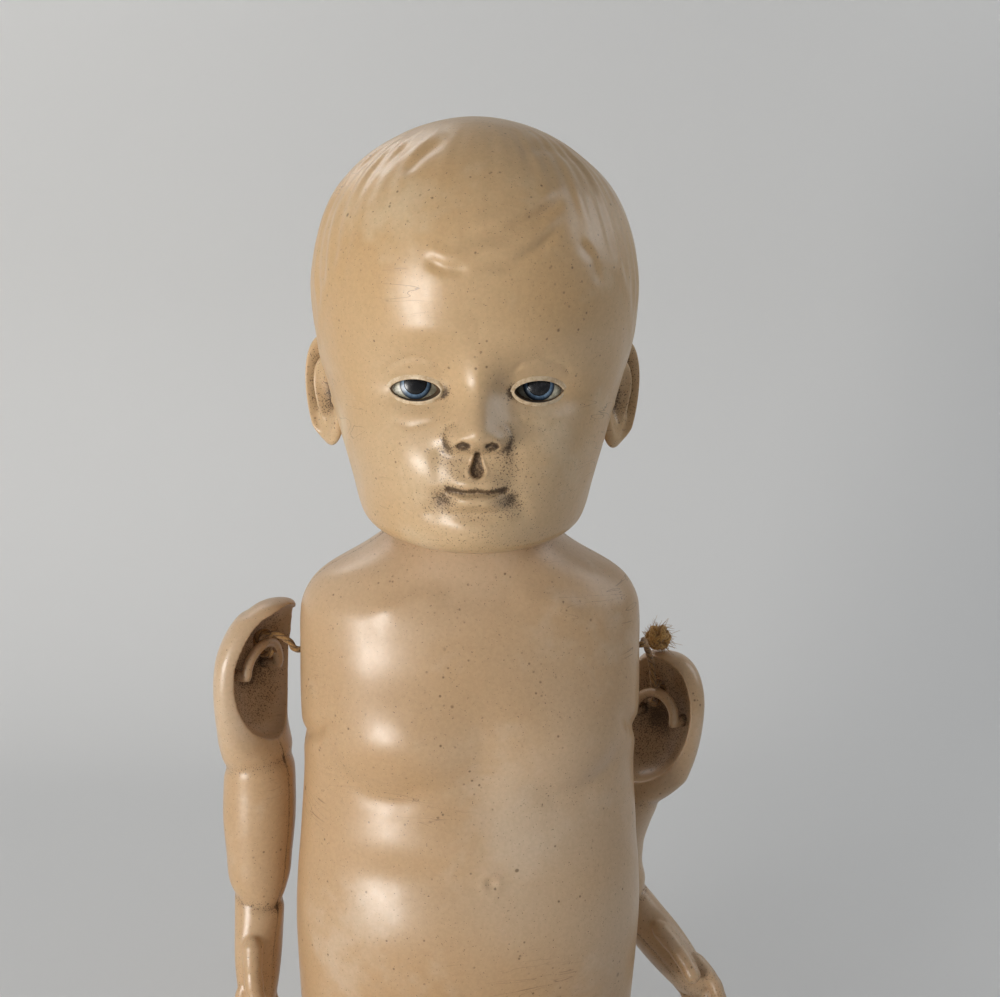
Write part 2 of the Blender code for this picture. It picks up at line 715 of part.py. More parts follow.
def ear_points(side):
    """An ear as a flat oval, leaning out behind the cheek."""
    middle = HEAD_RIM_HEIGHT + EAR_UP_SHARE * HEAD_HEIGHT
    points = ball_points((0.0, 0.0, 0.0), (0.5 * EAR_THICKNESS, 0.5 * EAR_DEPTH, 0.5 * EAR_HEIGHT), 12, 8)
    lean = math.radians(EAR_LEAN_DEGREES) * side
    x = points[..., 0] * math.cos(lean) + points[..., 1] * math.sin(lean)
    y = points[..., 1] * math.cos(lean) - points[..., 0] * math.sin(lean)
    x = x + side * EAR_OUT_SHARE * HEAD_HALF_WIDTH
    y = y + EAR_BACK_SHARE * HEAD_BACK
    return np.stack([x, y, points[..., 2] + middle], axis=2)


def eye_opening_points(side, centre_height):
    """A lens shaped outline carried from the face inwards."""
    angles = ring_angles(16)
    half_width = 0.5 * EYE_OPENING_WIDTH
    half_height = 0.5 * EYE_OPENING_HEIGHT
    x = side * 0.5 * EYE_SPACING + half_width * np.cos(angles)
    z = centre_height + half_height * np.sign(np.sin(angles)) * np.abs(np.sin(angles)) ** LID_SHAPE_SHARE
    near = -(HEAD_FRONT + CUT_OVERRUN)
    far = -(EYE_INSET - 0.5 * EYE_RADIUS)
    rings = [np.stack([x, np.full_like(x, y), z], axis=1) for y in (far, near)]
    return np.array(rings)


def make_head(head_joint):
    """Front and back shells of the head, with ears, eye openings and the neck rim."""
    outer = head_points(AROUND["head"], 36)
    core_points = inset_grid(head_points(CORE_AROUND["head"], 15, hollow=True), WALL)
    core = hide_cutter(add_object("head_core", grid_mesh("head_core", core_points), None, head_joint))
    ears = []
    for word, side in SIDES:
        mesh = grid_mesh(word + "_ear", ear_points(side))
        ears.append(hide_cutter(add_object(word + "_ear", mesh, None, head_joint)))
    eye_height = HEAD_RIM_HEIGHT + EYE_UP_SHARE * HEAD_HEIGHT
    eye_cuts = []
    for word, side in SIDES:
        mesh = grid_mesh(word + "_eye_opening", eye_opening_points(side, eye_height))
        eye_cuts.append(hide_cutter(add_object(word + "_eye_opening", mesh, None, head_joint)))
        centre = (side * 0.5 * EYE_SPACING, -EYE_INSET - NECK_BALL_BACK, eye_height)
        room = ball_cutter(word + "_eye_room", centre, (EYE_RADIUS + GAP,) * 3, head_joint, 16, 9)
        eye_cuts.append(room)
    rim = cylinder_cutter(
        "head_rim",
        HEAD_RIM_RADIUS,
        (0.0, 0.0, 0.0),
        (0.0, 0.0, HEAD_RIM_HEIGHT + 2 * WALL),
        head_joint,
        40,
    )
    for word, side in HALVES:
        shell = add_object("head_" + word, grid_mesh("head_" + word, outer), HEAD_LOOK, head_joint)
        for ear in ears:
            boolean(shell, ear, "UNION")
        reach = HEAD_HEIGHT + HEAD_BACK
        boolean(shell, half_cutter("head_not_" + word, side, HEAD_SEAM_BACK, reach, head_joint))
        boolean(shell, core)
        boolean(shell, rim)
        if word == "front":
            for cutter in eye_cuts:
                boolean(shell, cutter)
    make_eyes(head_joint, eye_height)


def disc_mesh(name, radius, thickness, place, sides=16):
    """A thin disc that faces forward."""
    near = (place[0], place[1], place[2])
    far = (place[0], place[1] + thickness, place[2])
    return cylinder_mesh(name, radius, far, near, sides)


def make_eyes(head_joint, eye_height):
    """Inset eyes: a ball, an iris disc in its pocket and a pupil in front of it."""
    for word, side in SIDES:
        x = side * 0.5 * EYE_SPACING
        y = -EYE_INSET - NECK_BALL_BACK
        mesh = grid_mesh(word + "_eyeball", ball_points((x, y, eye_height), (EYE_RADIUS,) * 3, 16, 9))
        eyeball = add_object(word + "_eyeball", mesh, EYE_LOOK, head_joint)
        gaze = eye_height + IRIS_RISE
        front = y - math.sqrt(EYE_RADIUS**2 - (IRIS_RADIUS + IRIS_RISE) ** 2)
        floor = front + IRIS_THICKNESS
        pocket_start = (x, front - EYE_RADIUS, gaze)
        pocket = cylinder_cutter(
            word + "_iris_pocket", IRIS_RADIUS + GAP, (x, floor, gaze), pocket_start, head_joint, 16
        )
        boolean(eyeball, pocket)
        iris_front = front + GAP
        mesh = disc_mesh(word + "_iris", IRIS_RADIUS, IRIS_THICKNESS - 2 * GAP, (x, iris_front, gaze))
        add_object(word + "_iris", mesh, IRIS_LOOK, head_joint)
        pupil_front = iris_front - GAP - PUPIL_THICKNESS
        mesh = disc_mesh(word + "_pupil", PUPIL_RADIUS, PUPIL_THICKNESS, (x, pupil_front, gaze), 12)
        add_object(word + "_pupil", mesh, PUPIL_LOOK, head_joint)


def make_neck_stringing(head_joint):
    """The dowel across the head, the wire hook round it and the elastic down to the hips."""
    rows = between_rows(HEAD_RING_SHARES, 60)
    chin = HEAD_RIM_HEIGHT - HEAD_RING_SHARES[0][0] * HEAD_HEIGHT
    share = (DOWEL_RISE - chin) / HEAD_HEIGHT
    inside = np.interp(share, rows[:, 0], rows[:, 1]) * HEAD_HALF_WIDTH
    reach = inside - WALL - 8 * GAP
    mesh = cylinder_mesh("neck_dowel", DOWEL_RADIUS, (-reach, 0.0, DOWEL_RISE), (reach, 0.0, DOWEL_RISE), 14)
    add_object("neck_dowel", mesh, WOOD_LOOK, head_joint)
    turn = add_empty("neck_turn_axis", (0.0, NECK_BALL_BACK, NECK_HEIGHT))
    hook_middle = DOWEL_RISE + DOWEL_RADIUS + GAP + WIRE_RADIUS - HOOK_HALF_HEIGHT
    points = [(0.0, 0.0, 0.0), (0.0, 0.0, hook_middle - HOOK_HALF_HEIGHT - 2 * WIRE_RADIUS)]
    for step in range(17):
        angle = math.radians(HOOK_START_DEGREES + HOOK_SWEEP_DEGREES * step / 17)
        across = math.copysign(abs(math.cos(angle)) ** HOOK_SQUARE_SHARE, math.cos(angle))
        upward = math.copysign(abs(math.sin(angle)) ** HOOK_SQUARE_SHARE, math.sin(angle))
        y = HOOK_HALF_LENGTH * across
        z = hook_middle + HOOK_HALF_HEIGHT * upward
        points.append((0.0, y, z))
    mesh = tube_mesh("neck_hook", points, WIRE_RADIUS, 8)
    add_object("neck_hook", mesh, WIRE_LOOK, turn)
    top = NECK_HEIGHT - 2 * GAP
    low = HIP_HEIGHT + ELASTIC_RADIUS + GAP
    mesh = cylinder_mesh("neck_elastic", ELASTIC_RADIUS, (0.0, 0.0, low), (0.0, NECK_BALL_BACK, top), 8)
    add_object("neck_elastic", mesh, ELASTIC_LOOK)


def arm_points(around, rings, low_share, side):
    """Rings of a right arm from the finger tips up, about the middle of its shoulder opening."""
    rows = between_rows(ARM_RING_SHARES[::-1], rings)
    rows = rows[rows[:, 0] >= low_share]
    angles = ring_angles(around)
    front = rows[:, 1:2] * CUP_DEPTH
    back = rows[:, 2:3] * CUP_DEPTH
    half_width = rows[:, 3:4] * CUP_HALF_WIDTH
    bend = rows[:, 4:5] * ARM_BEND
    turn = math.radians(ARM_TURN_DEGREES[side])
    x = 0.5 * (front - back) + 0.5 * (front + back) * np.sin(angles) + bend * math.sin(turn)
    y = -half_width * np.cos(angles) - bend * math.cos(turn)
    z = (rows[:, 0:1] - CUP_MIDDLE_SHARE) * ARM_LENGTH + 0.0 * x
    return np.stack([x, y, z], axis=2)


def mirrored(points, side):
    """The left piece is the right one turned over."""
    return points * (1.0, -side, 1.0)


def joint_turn(side):
    """How far an arm's joint frame is turned, in degrees."""
    turn = ARM_TURN_DEGREES[side]
    return -turn if side < 0 else 180.0 + turn


def in_joint_frame(across, back, side):
    """A sideways and a backward length, in the directions of the arm's joint frame."""
    angle = math.radians(joint_turn(side))
    along = across * math.cos(angle) + back * math.sin(angle)
    aside = back * math.cos(angle) - across * math.sin(angle)
    return np.stack([along, aside], axis=-1)


def arm_posed(points, side):
    """An arm's points with its lean at the cup and, on the left, its bend at the elbow."""
    points = np.array(points, dtype=float)
    table = RIGHT_SWAY_SHARES if side < 0 else LEFT_SWAY_SHARES
    rows = between_rows(table, 80)
    height = CUP_MIDDLE_SHARE + points[..., 2] / ARM_LENGTH
    across = side * ARM_SWAY * np.interp(height, rows[:, 0], rows[:, 1])
    back = ARM_SWAY * np.interp(height, rows[:, 0], rows[:, 2])
    points[..., :2] += in_joint_frame(across, back, side)
    if side < 0:
        return points
    elbow = in_joint_frame(side * ARM_SWAY * table[1][1], ARM_SWAY * table[1][2], side)
    ahead = math.radians(LEFT_ELBOW_AHEAD_DEGREES)
    outward = in_joint_frame(side * math.cos(ahead), -math.sin(ahead), side)
    start = (ELBOW_START_SHARE - CUP_MIDDLE_SHARE) * ARM_LENGTH
    below = np.maximum(start - points[..., 2], 0.0)
    bend = math.radians(LEFT_ELBOW_DEGREES)
    radius = ELBOW_LENGTH / bend
    angle = np.minimum(below, ELBOW_LENGTH) / radius
    beyond = np.maximum(below - ELBOW_LENGTH, 0.0)
    near = (points[..., :2] - elbow) @ outward
    moved = radius - (radius - near) * np.cos(angle) + beyond * np.sin(angle)
    lowered = (radius - near) * np.sin(angle) + beyond * np.cos(angle)
    points[..., :2] += (moved - near)[..., None] * outward
    points[..., 2] = np.where(below > 0.0, start - lowered, points[..., 2])
    return points


def dish_points(growth):
    """The hollow that the shoulder sits in, as an ellipsoid about the opening's middle."""
    radii = (DISH_DEPTH + growth, DISH_HALF_WIDTH + growth, DISH_HALF_HEIGHT + growth)
    return ball_points((0.0, 0.0, 0.0), radii, 14, 9)


def finger_tubes(side):
    """Start, end and radius of each finger and the thumb, in the arm's own frame."""
    turn = math.radians(ARM_TURN_DEGREES[side])
    fingers = []
    for place in FINGER_PLACE_SHARES:
        x = FINGER_AHEAD_SHARE * CUP_DEPTH + ARM_BEND * math.sin(turn)
        y = place * CUP_HALF_WIDTH - ARM_BEND * math.cos(turn)
        length = FINGER_LENGTH * (1.0 - FINGER_SHORTER_SHARE * place * place)
        low = (HAND_END_SHARE - CUP_MIDDLE_SHARE) * ARM_LENGTH
        start = (x, -side * y, low + FINGER_BURIED_SHARE * length)
        end = (x + FINGER_LEAN_SHARE * length, -side * y, low - FINGER_BEYOND_SHARE * length)
        fingers.append((arm_posed(start, side), arm_posed(end, side), FINGER_RADIUS))
    x = THUMB_AHEAD_SHARE * CUP_DEPTH + ARM_BEND * math.sin(turn)
    y = THUMB_ASIDE_SHARE * CUP_HALF_WIDTH - ARM_BEND * math.cos(turn)
    base = (THUMB_BASE_SHARE - CUP_MIDDLE_SHARE) * ARM_LENGTH
    start = (x, -side * y, base)
    outward = y - THUMB_SPREAD_SHARE * THUMB_LENGTH
    end = (x + THUMB_LEAN_SHARE * THUMB_LENGTH, -side * outward, base - THUMB_LENGTH)
    fingers.append((arm_posed(start, side), arm_posed(end, side), THUMB_RADIUS))
    return fingers


def capsule_mesh(name, start, end, radius, sides=6):
    """A tube with round ends."""
    start = np.array(start)
    end = np.array(end)
    axis = end - start
    length = np.linalg.norm(axis)
    axis = axis / length
    first = np.cross(axis, (0.0, 1.0, 0.0))
    first /= np.linalg.norm(first)
    second = np.cross(axis, first)
    climbs = np.linspace(-0.5 * math.pi, 0.5 * math.pi, 5)
    angles = ring_angles(sides)
    rings = []
    for climb in climbs:
        base = start if climb < 0.0 else end
        centre = base + axis * radius * math.sin(climb)
        reach = radius * math.cos(climb)
        ring = centre + reach * (np.outer(np.cos(angles), first) + np.outer(np.sin(angles), second))
        rings.append(ring)
    return grid_mesh(name, np.array(rings))


def make_arm(word, side, arm_joint):
    """Front and back shells of an arm: open shoulder cup, dished seat, forearm and hand."""
    outer = arm_posed(mirrored(arm_points(AROUND["arm"], 24, 0.0, side), side), side)
    hollow = inset_grid(arm_points(CORE_AROUND["arm"], 15, HAND_SHARE, side), WALL)
    inner = arm_posed(mirrored(hollow, side), side)
    turned = side > 0
    core = add_object(word + "_arm_core", grid_mesh(word + "_arm_core", inner, turned), None, arm_joint)
    hide_cutter(core)
    thick = grid_mesh(word + "_dish_wall", arm_posed(dish_points(WALL), side))
    boolean(core, hide_cutter(add_object(word + "_dish_wall", thick, None, arm_joint)))
    dish = grid_mesh(word + "_dish", arm_posed(dish_points(0.0), side))
    dish_cutter = hide_cutter(add_object(word + "_dish", dish, None, arm_joint))
    fingers = []
    for number, (start, end, radius) in enumerate(finger_tubes(side)):
        name = word + "_finger_" + str(number)
        finger = add_object(name, capsule_mesh(name, start, end, radius), None, arm_joint)
        fingers.append(hide_cutter(finger))
    hole = cylinder_cutter(
        word + "_cord_hole",
        CORD_HOLE_RADIUS,
        (0.0, side * CORD_HOLE_ASIDE_SHARE * DISH_HALF_WIDTH, 0.0),
        (-DISH_DEPTH - CORD_HOLE_DEEPER_SHARE * WALL, side * CORD_HOLE_ASIDE_SHARE * DISH_HALF_WIDTH, 0.0),
        arm_joint,
        12,
    )
    for half, half_side in HALVES:
        name = word + "_arm_" + half
        shell = add_object(name, grid_mesh(name, outer, turned), BODY_LOOK, arm_joint)
        for finger in fingers:
            boolean(shell, finger, "UNION")
        boolean(shell, arm_half_cutter(word + "_arm_not_" + half, side, half_side, arm_joint))
        boolean(shell, core)
        boolean(shell, dish_cutter)
        boolean(shell, hole)
    make_arch(word, side, arm_joint)


def arm_half_cutter(name, side, half_side, arm_joint):
    """A block over the other half of an arm, whose face follows the middle of the arm."""
    rows = between_rows(ARM_RING_SHARES[::-1], ARM_SEAM_STEPS)
    turn = math.radians(ARM_TURN_DEGREES[side])
    reach = CUTTER_REACH_SHARE * CUP_HALF_WIDTH
    height = (rows[:, 0] - CUP_MIDDLE_SHARE) * ARM_LENGTH
    height[0] -= reach
    height[-1] += reach
    near = -0.5 * half_side * GAP
    far = half_side * reach
    corners = ((-reach, near), (reach, near), (reach, far), (-reach, far))
    rings = []
    for across, aside in corners:
        x = across + rows[:, 4] * ARM_BEND * math.sin(turn)
        y = aside - rows[:, 4] * ARM_BEND * math.cos(turn)
        rings.append(np.stack([x, y, height], axis=1))
    points = np.stack(rings, axis=1)
    cutter = grid_mesh(name, arm_posed(mirrored(points, side), side), (side > 0) == (half_side > 0))
    return hide_cutter(add_object(name, cutter, None, arm_joint))


def make_arch(word, side, arm_joint):
    """The bar in the cup that the twine goes round: half a ring, its feet against the dish."""
    points = []
    foot = DISH_DEPTH * math.sqrt(1.0 - (ARCH_RADIUS / DISH_HALF_WIDTH) ** 2)
    foot = foot - ARCH_BAR_RADIUS * FOOT_EASE_SHARE
    for share in (1.0, 0.5):
        points.append((-ARCH_INSET + share * (ARCH_INSET - foot), ARCH_RADIUS, 0.0))
    for step in range(9):
        angle = math.pi * step / 8
        points.append((-ARCH_INSET, ARCH_RADIUS * math.cos(angle), ARCH_RADIUS * math.sin(angle)))
    for share in (0.5, 1.0):
        points.append((-ARCH_INSET + share * (ARCH_INSET - foot), -ARCH_RADIUS, 0.0))
    mesh = tube_mesh(word + "_arm_arch", arm_posed(points, side), ARCH_BAR_RADIUS, 8)
    add_object(word + "_arm_arch", mesh, BODY_LOOK, arm_joint)


def leg_points(around, rings, high_share):
    """Rings of a left leg from the back of the hip forward, in the world's frame."""
    rows = between_rows(LEG_RING_SHARES, rings)
    rows = rows[rows[:, 0] <= high_share]
    angles = ring_angles(around)
    x = HIP_CENTRE + rows[:, 3:4] * KNEE_OUT
    z = HIP_HEIGHT + rows[:, 4:5] * KNEE_RISE
    return np.stack(
        [
            x + rows[:, 1:2] * THIGH_RADIUS * np.cos(angles),
            HIP_RADIUS - rows[:, 0:1] * (LEG_LENGTH + HIP_RADIUS) + 0.0 * x * angles,
            z + rows[:, 2:3] * THIGH_RADIUS * np.sin(angles),
        ],
        axis=2,
    )


def foot_points(around, rings):
    """Rings of a left foot from the heel up to the toes."""
    rows = between_rows(FOOT_RING_SHARES, rings)
    angles = ring_angles(around)
    x = HIP_CENTRE + LEG_RING_SHARES[-1][3] * KNEE_OUT
    y = -(LEG_LENGTH - FOOT_SET_BACK_SHARE * FOOT_THICKNESS) - rows[:, 3:4] * FOOT_LENGTH
    return np.stack(
        [
            x + rows[:, 1:2] * FOOT_HALF_WIDTH * np.cos(angles),
            y + rows[:, 2:3] * FOOT_THICKNESS * np.sin(angles),
            2 * GAP + rows[:, 0:1] * FOOT_LENGTH + 0.0 * angles,
        ],
        axis=2,
    )


def make_leg(word, side, leg_joint):
    """Upper and lower shells of a bent leg that is open towards the hip ball."""
    place = np.array(leg_joint.location)
    turned = side < 0
    across = np.array((side, 1.0, 1.0))
    outer = leg_points(AROUND["leg"], 17, 1.0) * across - place
    inner = inset_grid(leg_points(CORE_AROUND["leg"], 11, LEG_HOLLOW_SHARE), WALL) * across - place
    foot = foot_points(12, 10) * across - place
    core = add_object(word + "_leg_core", grid_mesh(word + "_leg_core", inner, turned), None, leg_joint)
    hide_cutter(core)
    ball_place = np.array((side * HIP_BALL_CENTRE, 0.0, HIP_HEIGHT)) - place
    wall = ball_cutter(word + "_seat_wall", ball_place, (HIP_BALL_RADIUS + GAP + WALL,) * 3, leg_joint)
    boolean(core, wall)
    seat = ball_cutter(word + "_hip_seat", ball_place, (HIP_BALL_RADIUS + 2 * GAP,) * 3, leg_joint)
    toe = add_object(word + "_foot", grid_mesh(word + "_foot", foot, turned), None, leg_joint)
    hide_cutter(toe)
    hole_start = ball_place + (side * HIP_BALL_RADIUS * 0.5, 0.0, 0.0)
    hole_end = ball_place + (side * (HIP_BALL_RADIUS + 3 * WALL), 0.0, 0.0)
    hole = cylinder_cutter(word + "_leg_hole", LEG_HOLE_RADIUS, hole_start, hole_end, leg_joint, 12)
    for half, half_side in (("inner", -1), ("outer", 1)):
        name = word + "_leg_" + half
        shell = add_object(name, grid_mesh(name, outer, turned), BODY_LOOK, leg_joint)
        boolean(shell, toe, "UNION")
        boolean(shell, leg_half_cutter(word + "_leg_not_" + half, side, half_side, place, leg_joint))
        boolean(shell, core)
        boolean(shell, seat)
        boolean(shell, hole)


def leg_half_cutter(name, side, half_side, place, leg_joint):
    """A box over the inner or outer half of a leg, split along its own upright plane."""
    reach = LEG_LENGTH + FOOT_LENGTH
    seam = HIP_CENTRE + SEAM_OUT_SHARE * KNEE_OUT
    near = side * (seam + half_side * 0.5 * GAP)
    far = side * (seam - half_side * reach)
    low = np.array((min(near, far), -reach, -reach)) - place
    high = np.array((max(near, far), reach, reach)) - place
    return box_cutter(name, low, high, leg_joint)


def make_leg_stringing():
    """The elastic across the hips and a wire hook on each end of it."""
    reach = HIP_BALL_CENTRE + 0.5 * HIP_BALL_RADIUS
    right_end = (-reach, 0.0, HIP_HEIGHT)
    left_end = (reach, 0.0, HIP_HEIGHT)
    mesh = cylinder_mesh("hip_elastic", ELASTIC_RADIUS, right_end, left_end, 8)
    add_object("hip_elastic", mesh, ELASTIC_LOOK)
    for word, side in SIDES:
        swing = add_empty(word + "_leg_swing_axis", (0.0, 0.0, HIP_HEIGHT))
        start = reach + GAP
        end = HIP_BALL_CENTRE + HIP_BALL_RADIUS + 4 * WALL
        drop = LEG_HOOK_DROP_SHARE * WIRE_RADIUS
        points = [(side * start, 0.0, 0.0)]
        for step in range(3):
            points.append((side * end, 0.0, step * drop))
        mesh = tube_mesh(word + "_leg_hook", points, WIRE_RADIUS, 8)
        add_object(word + "_leg_hook", mesh, WIRE_LOOK, swing)


def make_twine():
    """The twine through the shoulders, its loop round each arm's bar and the knot on the left."""
    reach = TORSO_HALF_WIDTH - 3 * TWINE_RADIUS
    inside = torso_half_width(SHOULDER_HOLE_HEIGHT) - 5 * WALL
    behind = NECK_BALL_BACK + 2 * ELASTIC_RADIUS + TWINE_RADIUS
    halfway = TWINE_TURN_SHARE * reach
    aside = TWINE_BEHIND_SHARE * behind
    sag = TWINE_SAG_SHARE * reach
    route = [
        (-reach, 0.0, SHOULDER_HOLE_HEIGHT),
        (-inside, 0.0, SHOULDER_HOLE_HEIGHT),
        (-halfway, aside, SHOULDER_HOLE_HEIGHT - sag),
        (0.0, behind, SHOULDER_HOLE_HEIGHT - 1.5 * sag),
        (halfway, aside, SHOULDER_HOLE_HEIGHT - sag),
        (inside, 0.0, SHOULDER_HOLE_HEIGHT),
        (reach, 0.0, SHOULDER_HOLE_HEIGHT),
    ]
    mesh = tube_mesh("shoulder_twine", between_rows(route, 18), TWINE_RADIUS, 6)
    add_object("shoulder_twine", mesh, TWINE_LOOK)
    for word, side in SIDES:
        swing = add_empty(word + "_arm_swing_axis", (0.0, 0.0, SHOULDER_HOLE_HEIGHT))
        turn = math.radians(ARM_TURN_DEGREES[side])
        inset = ARCH_INSET
        table = RIGHT_SWAY_SHARES if side < 0 else LEFT_SWAY_SHARES
        rows = between_rows(table, 80)
        lean = np.interp(CUP_MIDDLE_SHARE + ARCH_RADIUS / ARM_LENGTH, rows[:, 0], rows[:, 1])
        bar_x = side * (ARM_OUT[side] + inset * math.cos(turn) + lean * ARM_SWAY)
        bar_y = ARM_REAR[side] + inset * math.sin(turn)
        bar_z = CUP_HEIGHT[side] + ARCH_RADIUS - SHOULDER_HOLE_HEIGHT
        clear = ARCH_BAR_RADIUS + TWINE_RADIUS + 3 * GAP
        start = np.array((side * (reach + 3 * GAP), 0.0, 0.0))
        bar = np.array((bar_x, bar_y, bar_z))
        outward = np.array((side * math.cos(turn), math.sin(turn), 0.0))
        up = np.array((0.0, 0.0, 1.0))
        drop = ARM_DROP_SHARE * (CUP_HEIGHT[-1] - CUP_HEIGHT[side])
        over = bar - clear * outward + up * (clear + drop)
        route = [start, start + (side * 2 * TWINE_RADIUS, 0.0, 0.0), 0.5 * (start + over) + 0.5 * drop * up]
        route.append(over)
        for step in range(7):
            angle = math.radians(120.0 - 45.0 * step)
            route.append(bar + clear * (math.cos(angle) * outward + math.sin(angle) * up))
        mesh = tube_mesh(word + "_arm_twine", between_rows(route, 22), TWINE_RADIUS, 6)
        add_object(word + "_arm_twine", mesh, TWINE_LOOK, swing)
        if side > 0:
            cup_top = (1.0 - CUP_MIDDLE_SHARE) * ARM_LENGTH
            centre = np.array((ARM_OUT[side], ARM_REAR[side], CUP_HEIGHT[side] - SHOULDER_HOLE_HEIGHT))
            centre = centre + up * (cup_top + KNOT_RADIUS - 0.5 * GAP) + outward * KNOT_RADIUS
            mesh = grid_mesh("left_twine_knot", ball_points(centre, (KNOT_RADIUS,) * 3, 12, 8))
            add_object("left_twine_knot", mesh, TWINE_LOOK, swing)


def make_doll():
    """Builds every piece."""
    start_empty()
    make_torso()
    head_joint = add_empty("neck_nod_axis", (0.0, NECK_BALL_BACK, NECK_HEIGHT), HEAD_REST_TURN_DEGREES)
    make_head(head_joint)
    make_neck_stringing(head_joint)
    for word, side in SIDES:
        place = (side * ARM_OUT[side], ARM_REAR[side], CUP_HEIGHT[side])
        arm_joint = add_empty(word + "_arm_twist_axis", place, joint_turn(side))
        make_arm(word, side, arm_joint)
        leg_joint = add_empty(word + "_leg_spread_axis", (side * HIP_BALL_CENTRE, 0.0, HIP_HEIGHT))
        make_leg(word, side, leg_joint)
    make_leg_stringing()
    make_twine()


make_doll()
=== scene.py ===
# Ball jointed baby doll: the looks of each piece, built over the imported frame.
# Shapes are worked out in millimetres and put into the mesh in metres. The doll faces -Y, +X is its left side.
import math
import bpy
import numpy as np
from mathutils import Matrix, Vector


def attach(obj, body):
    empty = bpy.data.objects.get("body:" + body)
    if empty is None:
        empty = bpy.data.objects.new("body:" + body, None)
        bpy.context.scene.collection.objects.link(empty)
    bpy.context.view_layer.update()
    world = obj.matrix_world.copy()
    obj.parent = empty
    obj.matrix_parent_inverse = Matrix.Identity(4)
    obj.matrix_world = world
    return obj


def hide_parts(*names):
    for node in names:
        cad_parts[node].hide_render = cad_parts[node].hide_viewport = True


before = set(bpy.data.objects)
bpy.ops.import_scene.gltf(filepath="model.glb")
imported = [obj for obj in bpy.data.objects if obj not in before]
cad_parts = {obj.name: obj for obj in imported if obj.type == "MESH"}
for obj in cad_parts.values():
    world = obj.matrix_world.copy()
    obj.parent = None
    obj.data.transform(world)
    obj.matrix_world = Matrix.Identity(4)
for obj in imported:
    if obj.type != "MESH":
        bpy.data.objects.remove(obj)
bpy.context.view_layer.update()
print("frame loaded:", len(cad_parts), "nodes")
# the doll's own sides, and which way each lies on X
sides = (("right", -1), ("left", 1))


# small maths

def smooth(low, high, value):
    # 0 up to low, 1 from high, an s shaped cubic between
    t = np.clip((value - low) / (high - low), 0.0, 1.0)
    return t * t * (3.0 - 2.0 * t)


def hump(value, centre, spread):
    # a bell that is 1 at the centre and fades over the spread
    return np.exp(-((value - centre) / spread) ** 2)


def blob(x, z, centreX, centreZ, wide, tall, power=1.0):
    # a bell in two directions; a power above 1 gives it a flatter top and a steeper side
    return np.exp(-((((x - centreX) / wide) ** 2 + ((z - centreZ) / tall) ** 2) ** power))


def bells(x, z, forms):
    # the sum of a table's bells
    return sum(height * blob(x, z, *bell) for _, height, *bell in forms)


def curve(value, places, heights):
    # cubic through the given heights, each slope taken from its neighbours
    places = np.array(places, dtype=float)
    heights = np.array(heights, dtype=float)
    slopes = np.gradient(heights, places)
    k = np.clip(np.searchsorted(places, value) - 1, 0, len(places) - 2)
    w = places[k + 1] - places[k]
    t = np.clip((value - places[k]) / w, 0.0, 1.0)
    start = (2 * t ** 3 - 3 * t ** 2 + 1) * heights[k] + (t ** 3 - 2 * t ** 2 + t) * w * slopes[k]
    return start + (3 * t ** 2 - 2 * t ** 3) * heights[k + 1] + (t ** 3 - t ** 2) * w * slopes[k + 1]


def splineRows(rows, places):
    # the rows of a table read at fractional places, by Catmull-Rom
    table = np.array(rows, dtype=float)
    last = len(table) - 1
    first = np.clip(np.floor(places).astype(int), 0, last - 1)
    t = (places - first)[:, None]
    before, start = table[np.maximum(first - 1, 0)], table[first]
    end, after = table[first + 1], table[np.minimum(first + 2, last)]
    riseStart, riseEnd = 0.5 * (end - before), 0.5 * (after - start)
    return ((2 * t ** 3 - 3 * t ** 2 + 1) * start + (t ** 3 - 2 * t ** 2 + t) * riseStart
            + (3 * t ** 2 - 2 * t ** 3) * end + (t ** 3 - t ** 2) * riseEnd)


def strokeDistance(x, z, stroke):
    # distance from each point to a broken line, and how far along the line the nearest spot is, 0 to 1
    nearest = np.full(np.shape(x), 1e9)
    along = np.zeros(np.shape(x))
    count = len(stroke) - 1
    for k in range(count):
        (x0, z0), (x1, z1) = stroke[k], stroke[k + 1]
        dx, dz = x1 - x0, z1 - z0
        t = np.clip(((x - x0) * dx + (z - z0) * dz) / (dx * dx + dz * dz), 0.0, 1.0)
        away = np.hypot(x - x0 - t * dx, z - z0 - t * dz)
        along = np.where(away < nearest, (k + t) / count, along)
        nearest = np.minimum(nearest, away)
    return nearest, along


def groove(x, z, stroke, wide, taper=0.25):
    # a soft furrow along a broken line, fading out at both ends
    away, along = strokeDistance(x, z, stroke)
    ends = smooth(0.0, taper, along) * smooth(1.0, 1.0 - taper, along) if taper else 1.0
    return np.exp(-(away / wide) ** 2) * ends


def evenPlaces(density, count):
    # places along a table, closer together where the density is high
    fine = np.linspace(0.0, 1.0, 2001)
    total = np.concatenate([[0.0], np.cumsum(0.5 * (density(fine[1:]) + density(fine[:-1])))])
    return np.interp(np.linspace(0.0, total[-1], count), total, fine)


def circle(count):
    # angles of an even turn
    return np.linspace(0.0, 2.0 * math.pi, count, endpoint=False)


# meshes from grids

def quadGrid(index, closedAlong=False):
    # the corners of each patch of a grid of vertex numbers; it closes on itself around, and along if asked
    near, far = (index, np.roll(index, -1, -2)) if closedAlong else (index[..., :-1, :], index[..., 1:, :])
    return np.stack([near, np.roll(near, -1, -1), np.roll(far, -1, -1), far], axis=-1).reshape(-1, 4)


def facesInward(vertices, quads):
    # true when the enclosed volume, first corner . (second x third) summed over the triangles, is negative
    volume = 0.0
    for picks in ([0, 1, 2], [0, 2, 3]):
        corners = vertices[quads[:, picks]]
        volume += np.einsum("ij,ij->i", corners[:, 0], np.cross(corners[:, 1], corners[:, 2])).sum()
    return volume < 0.0


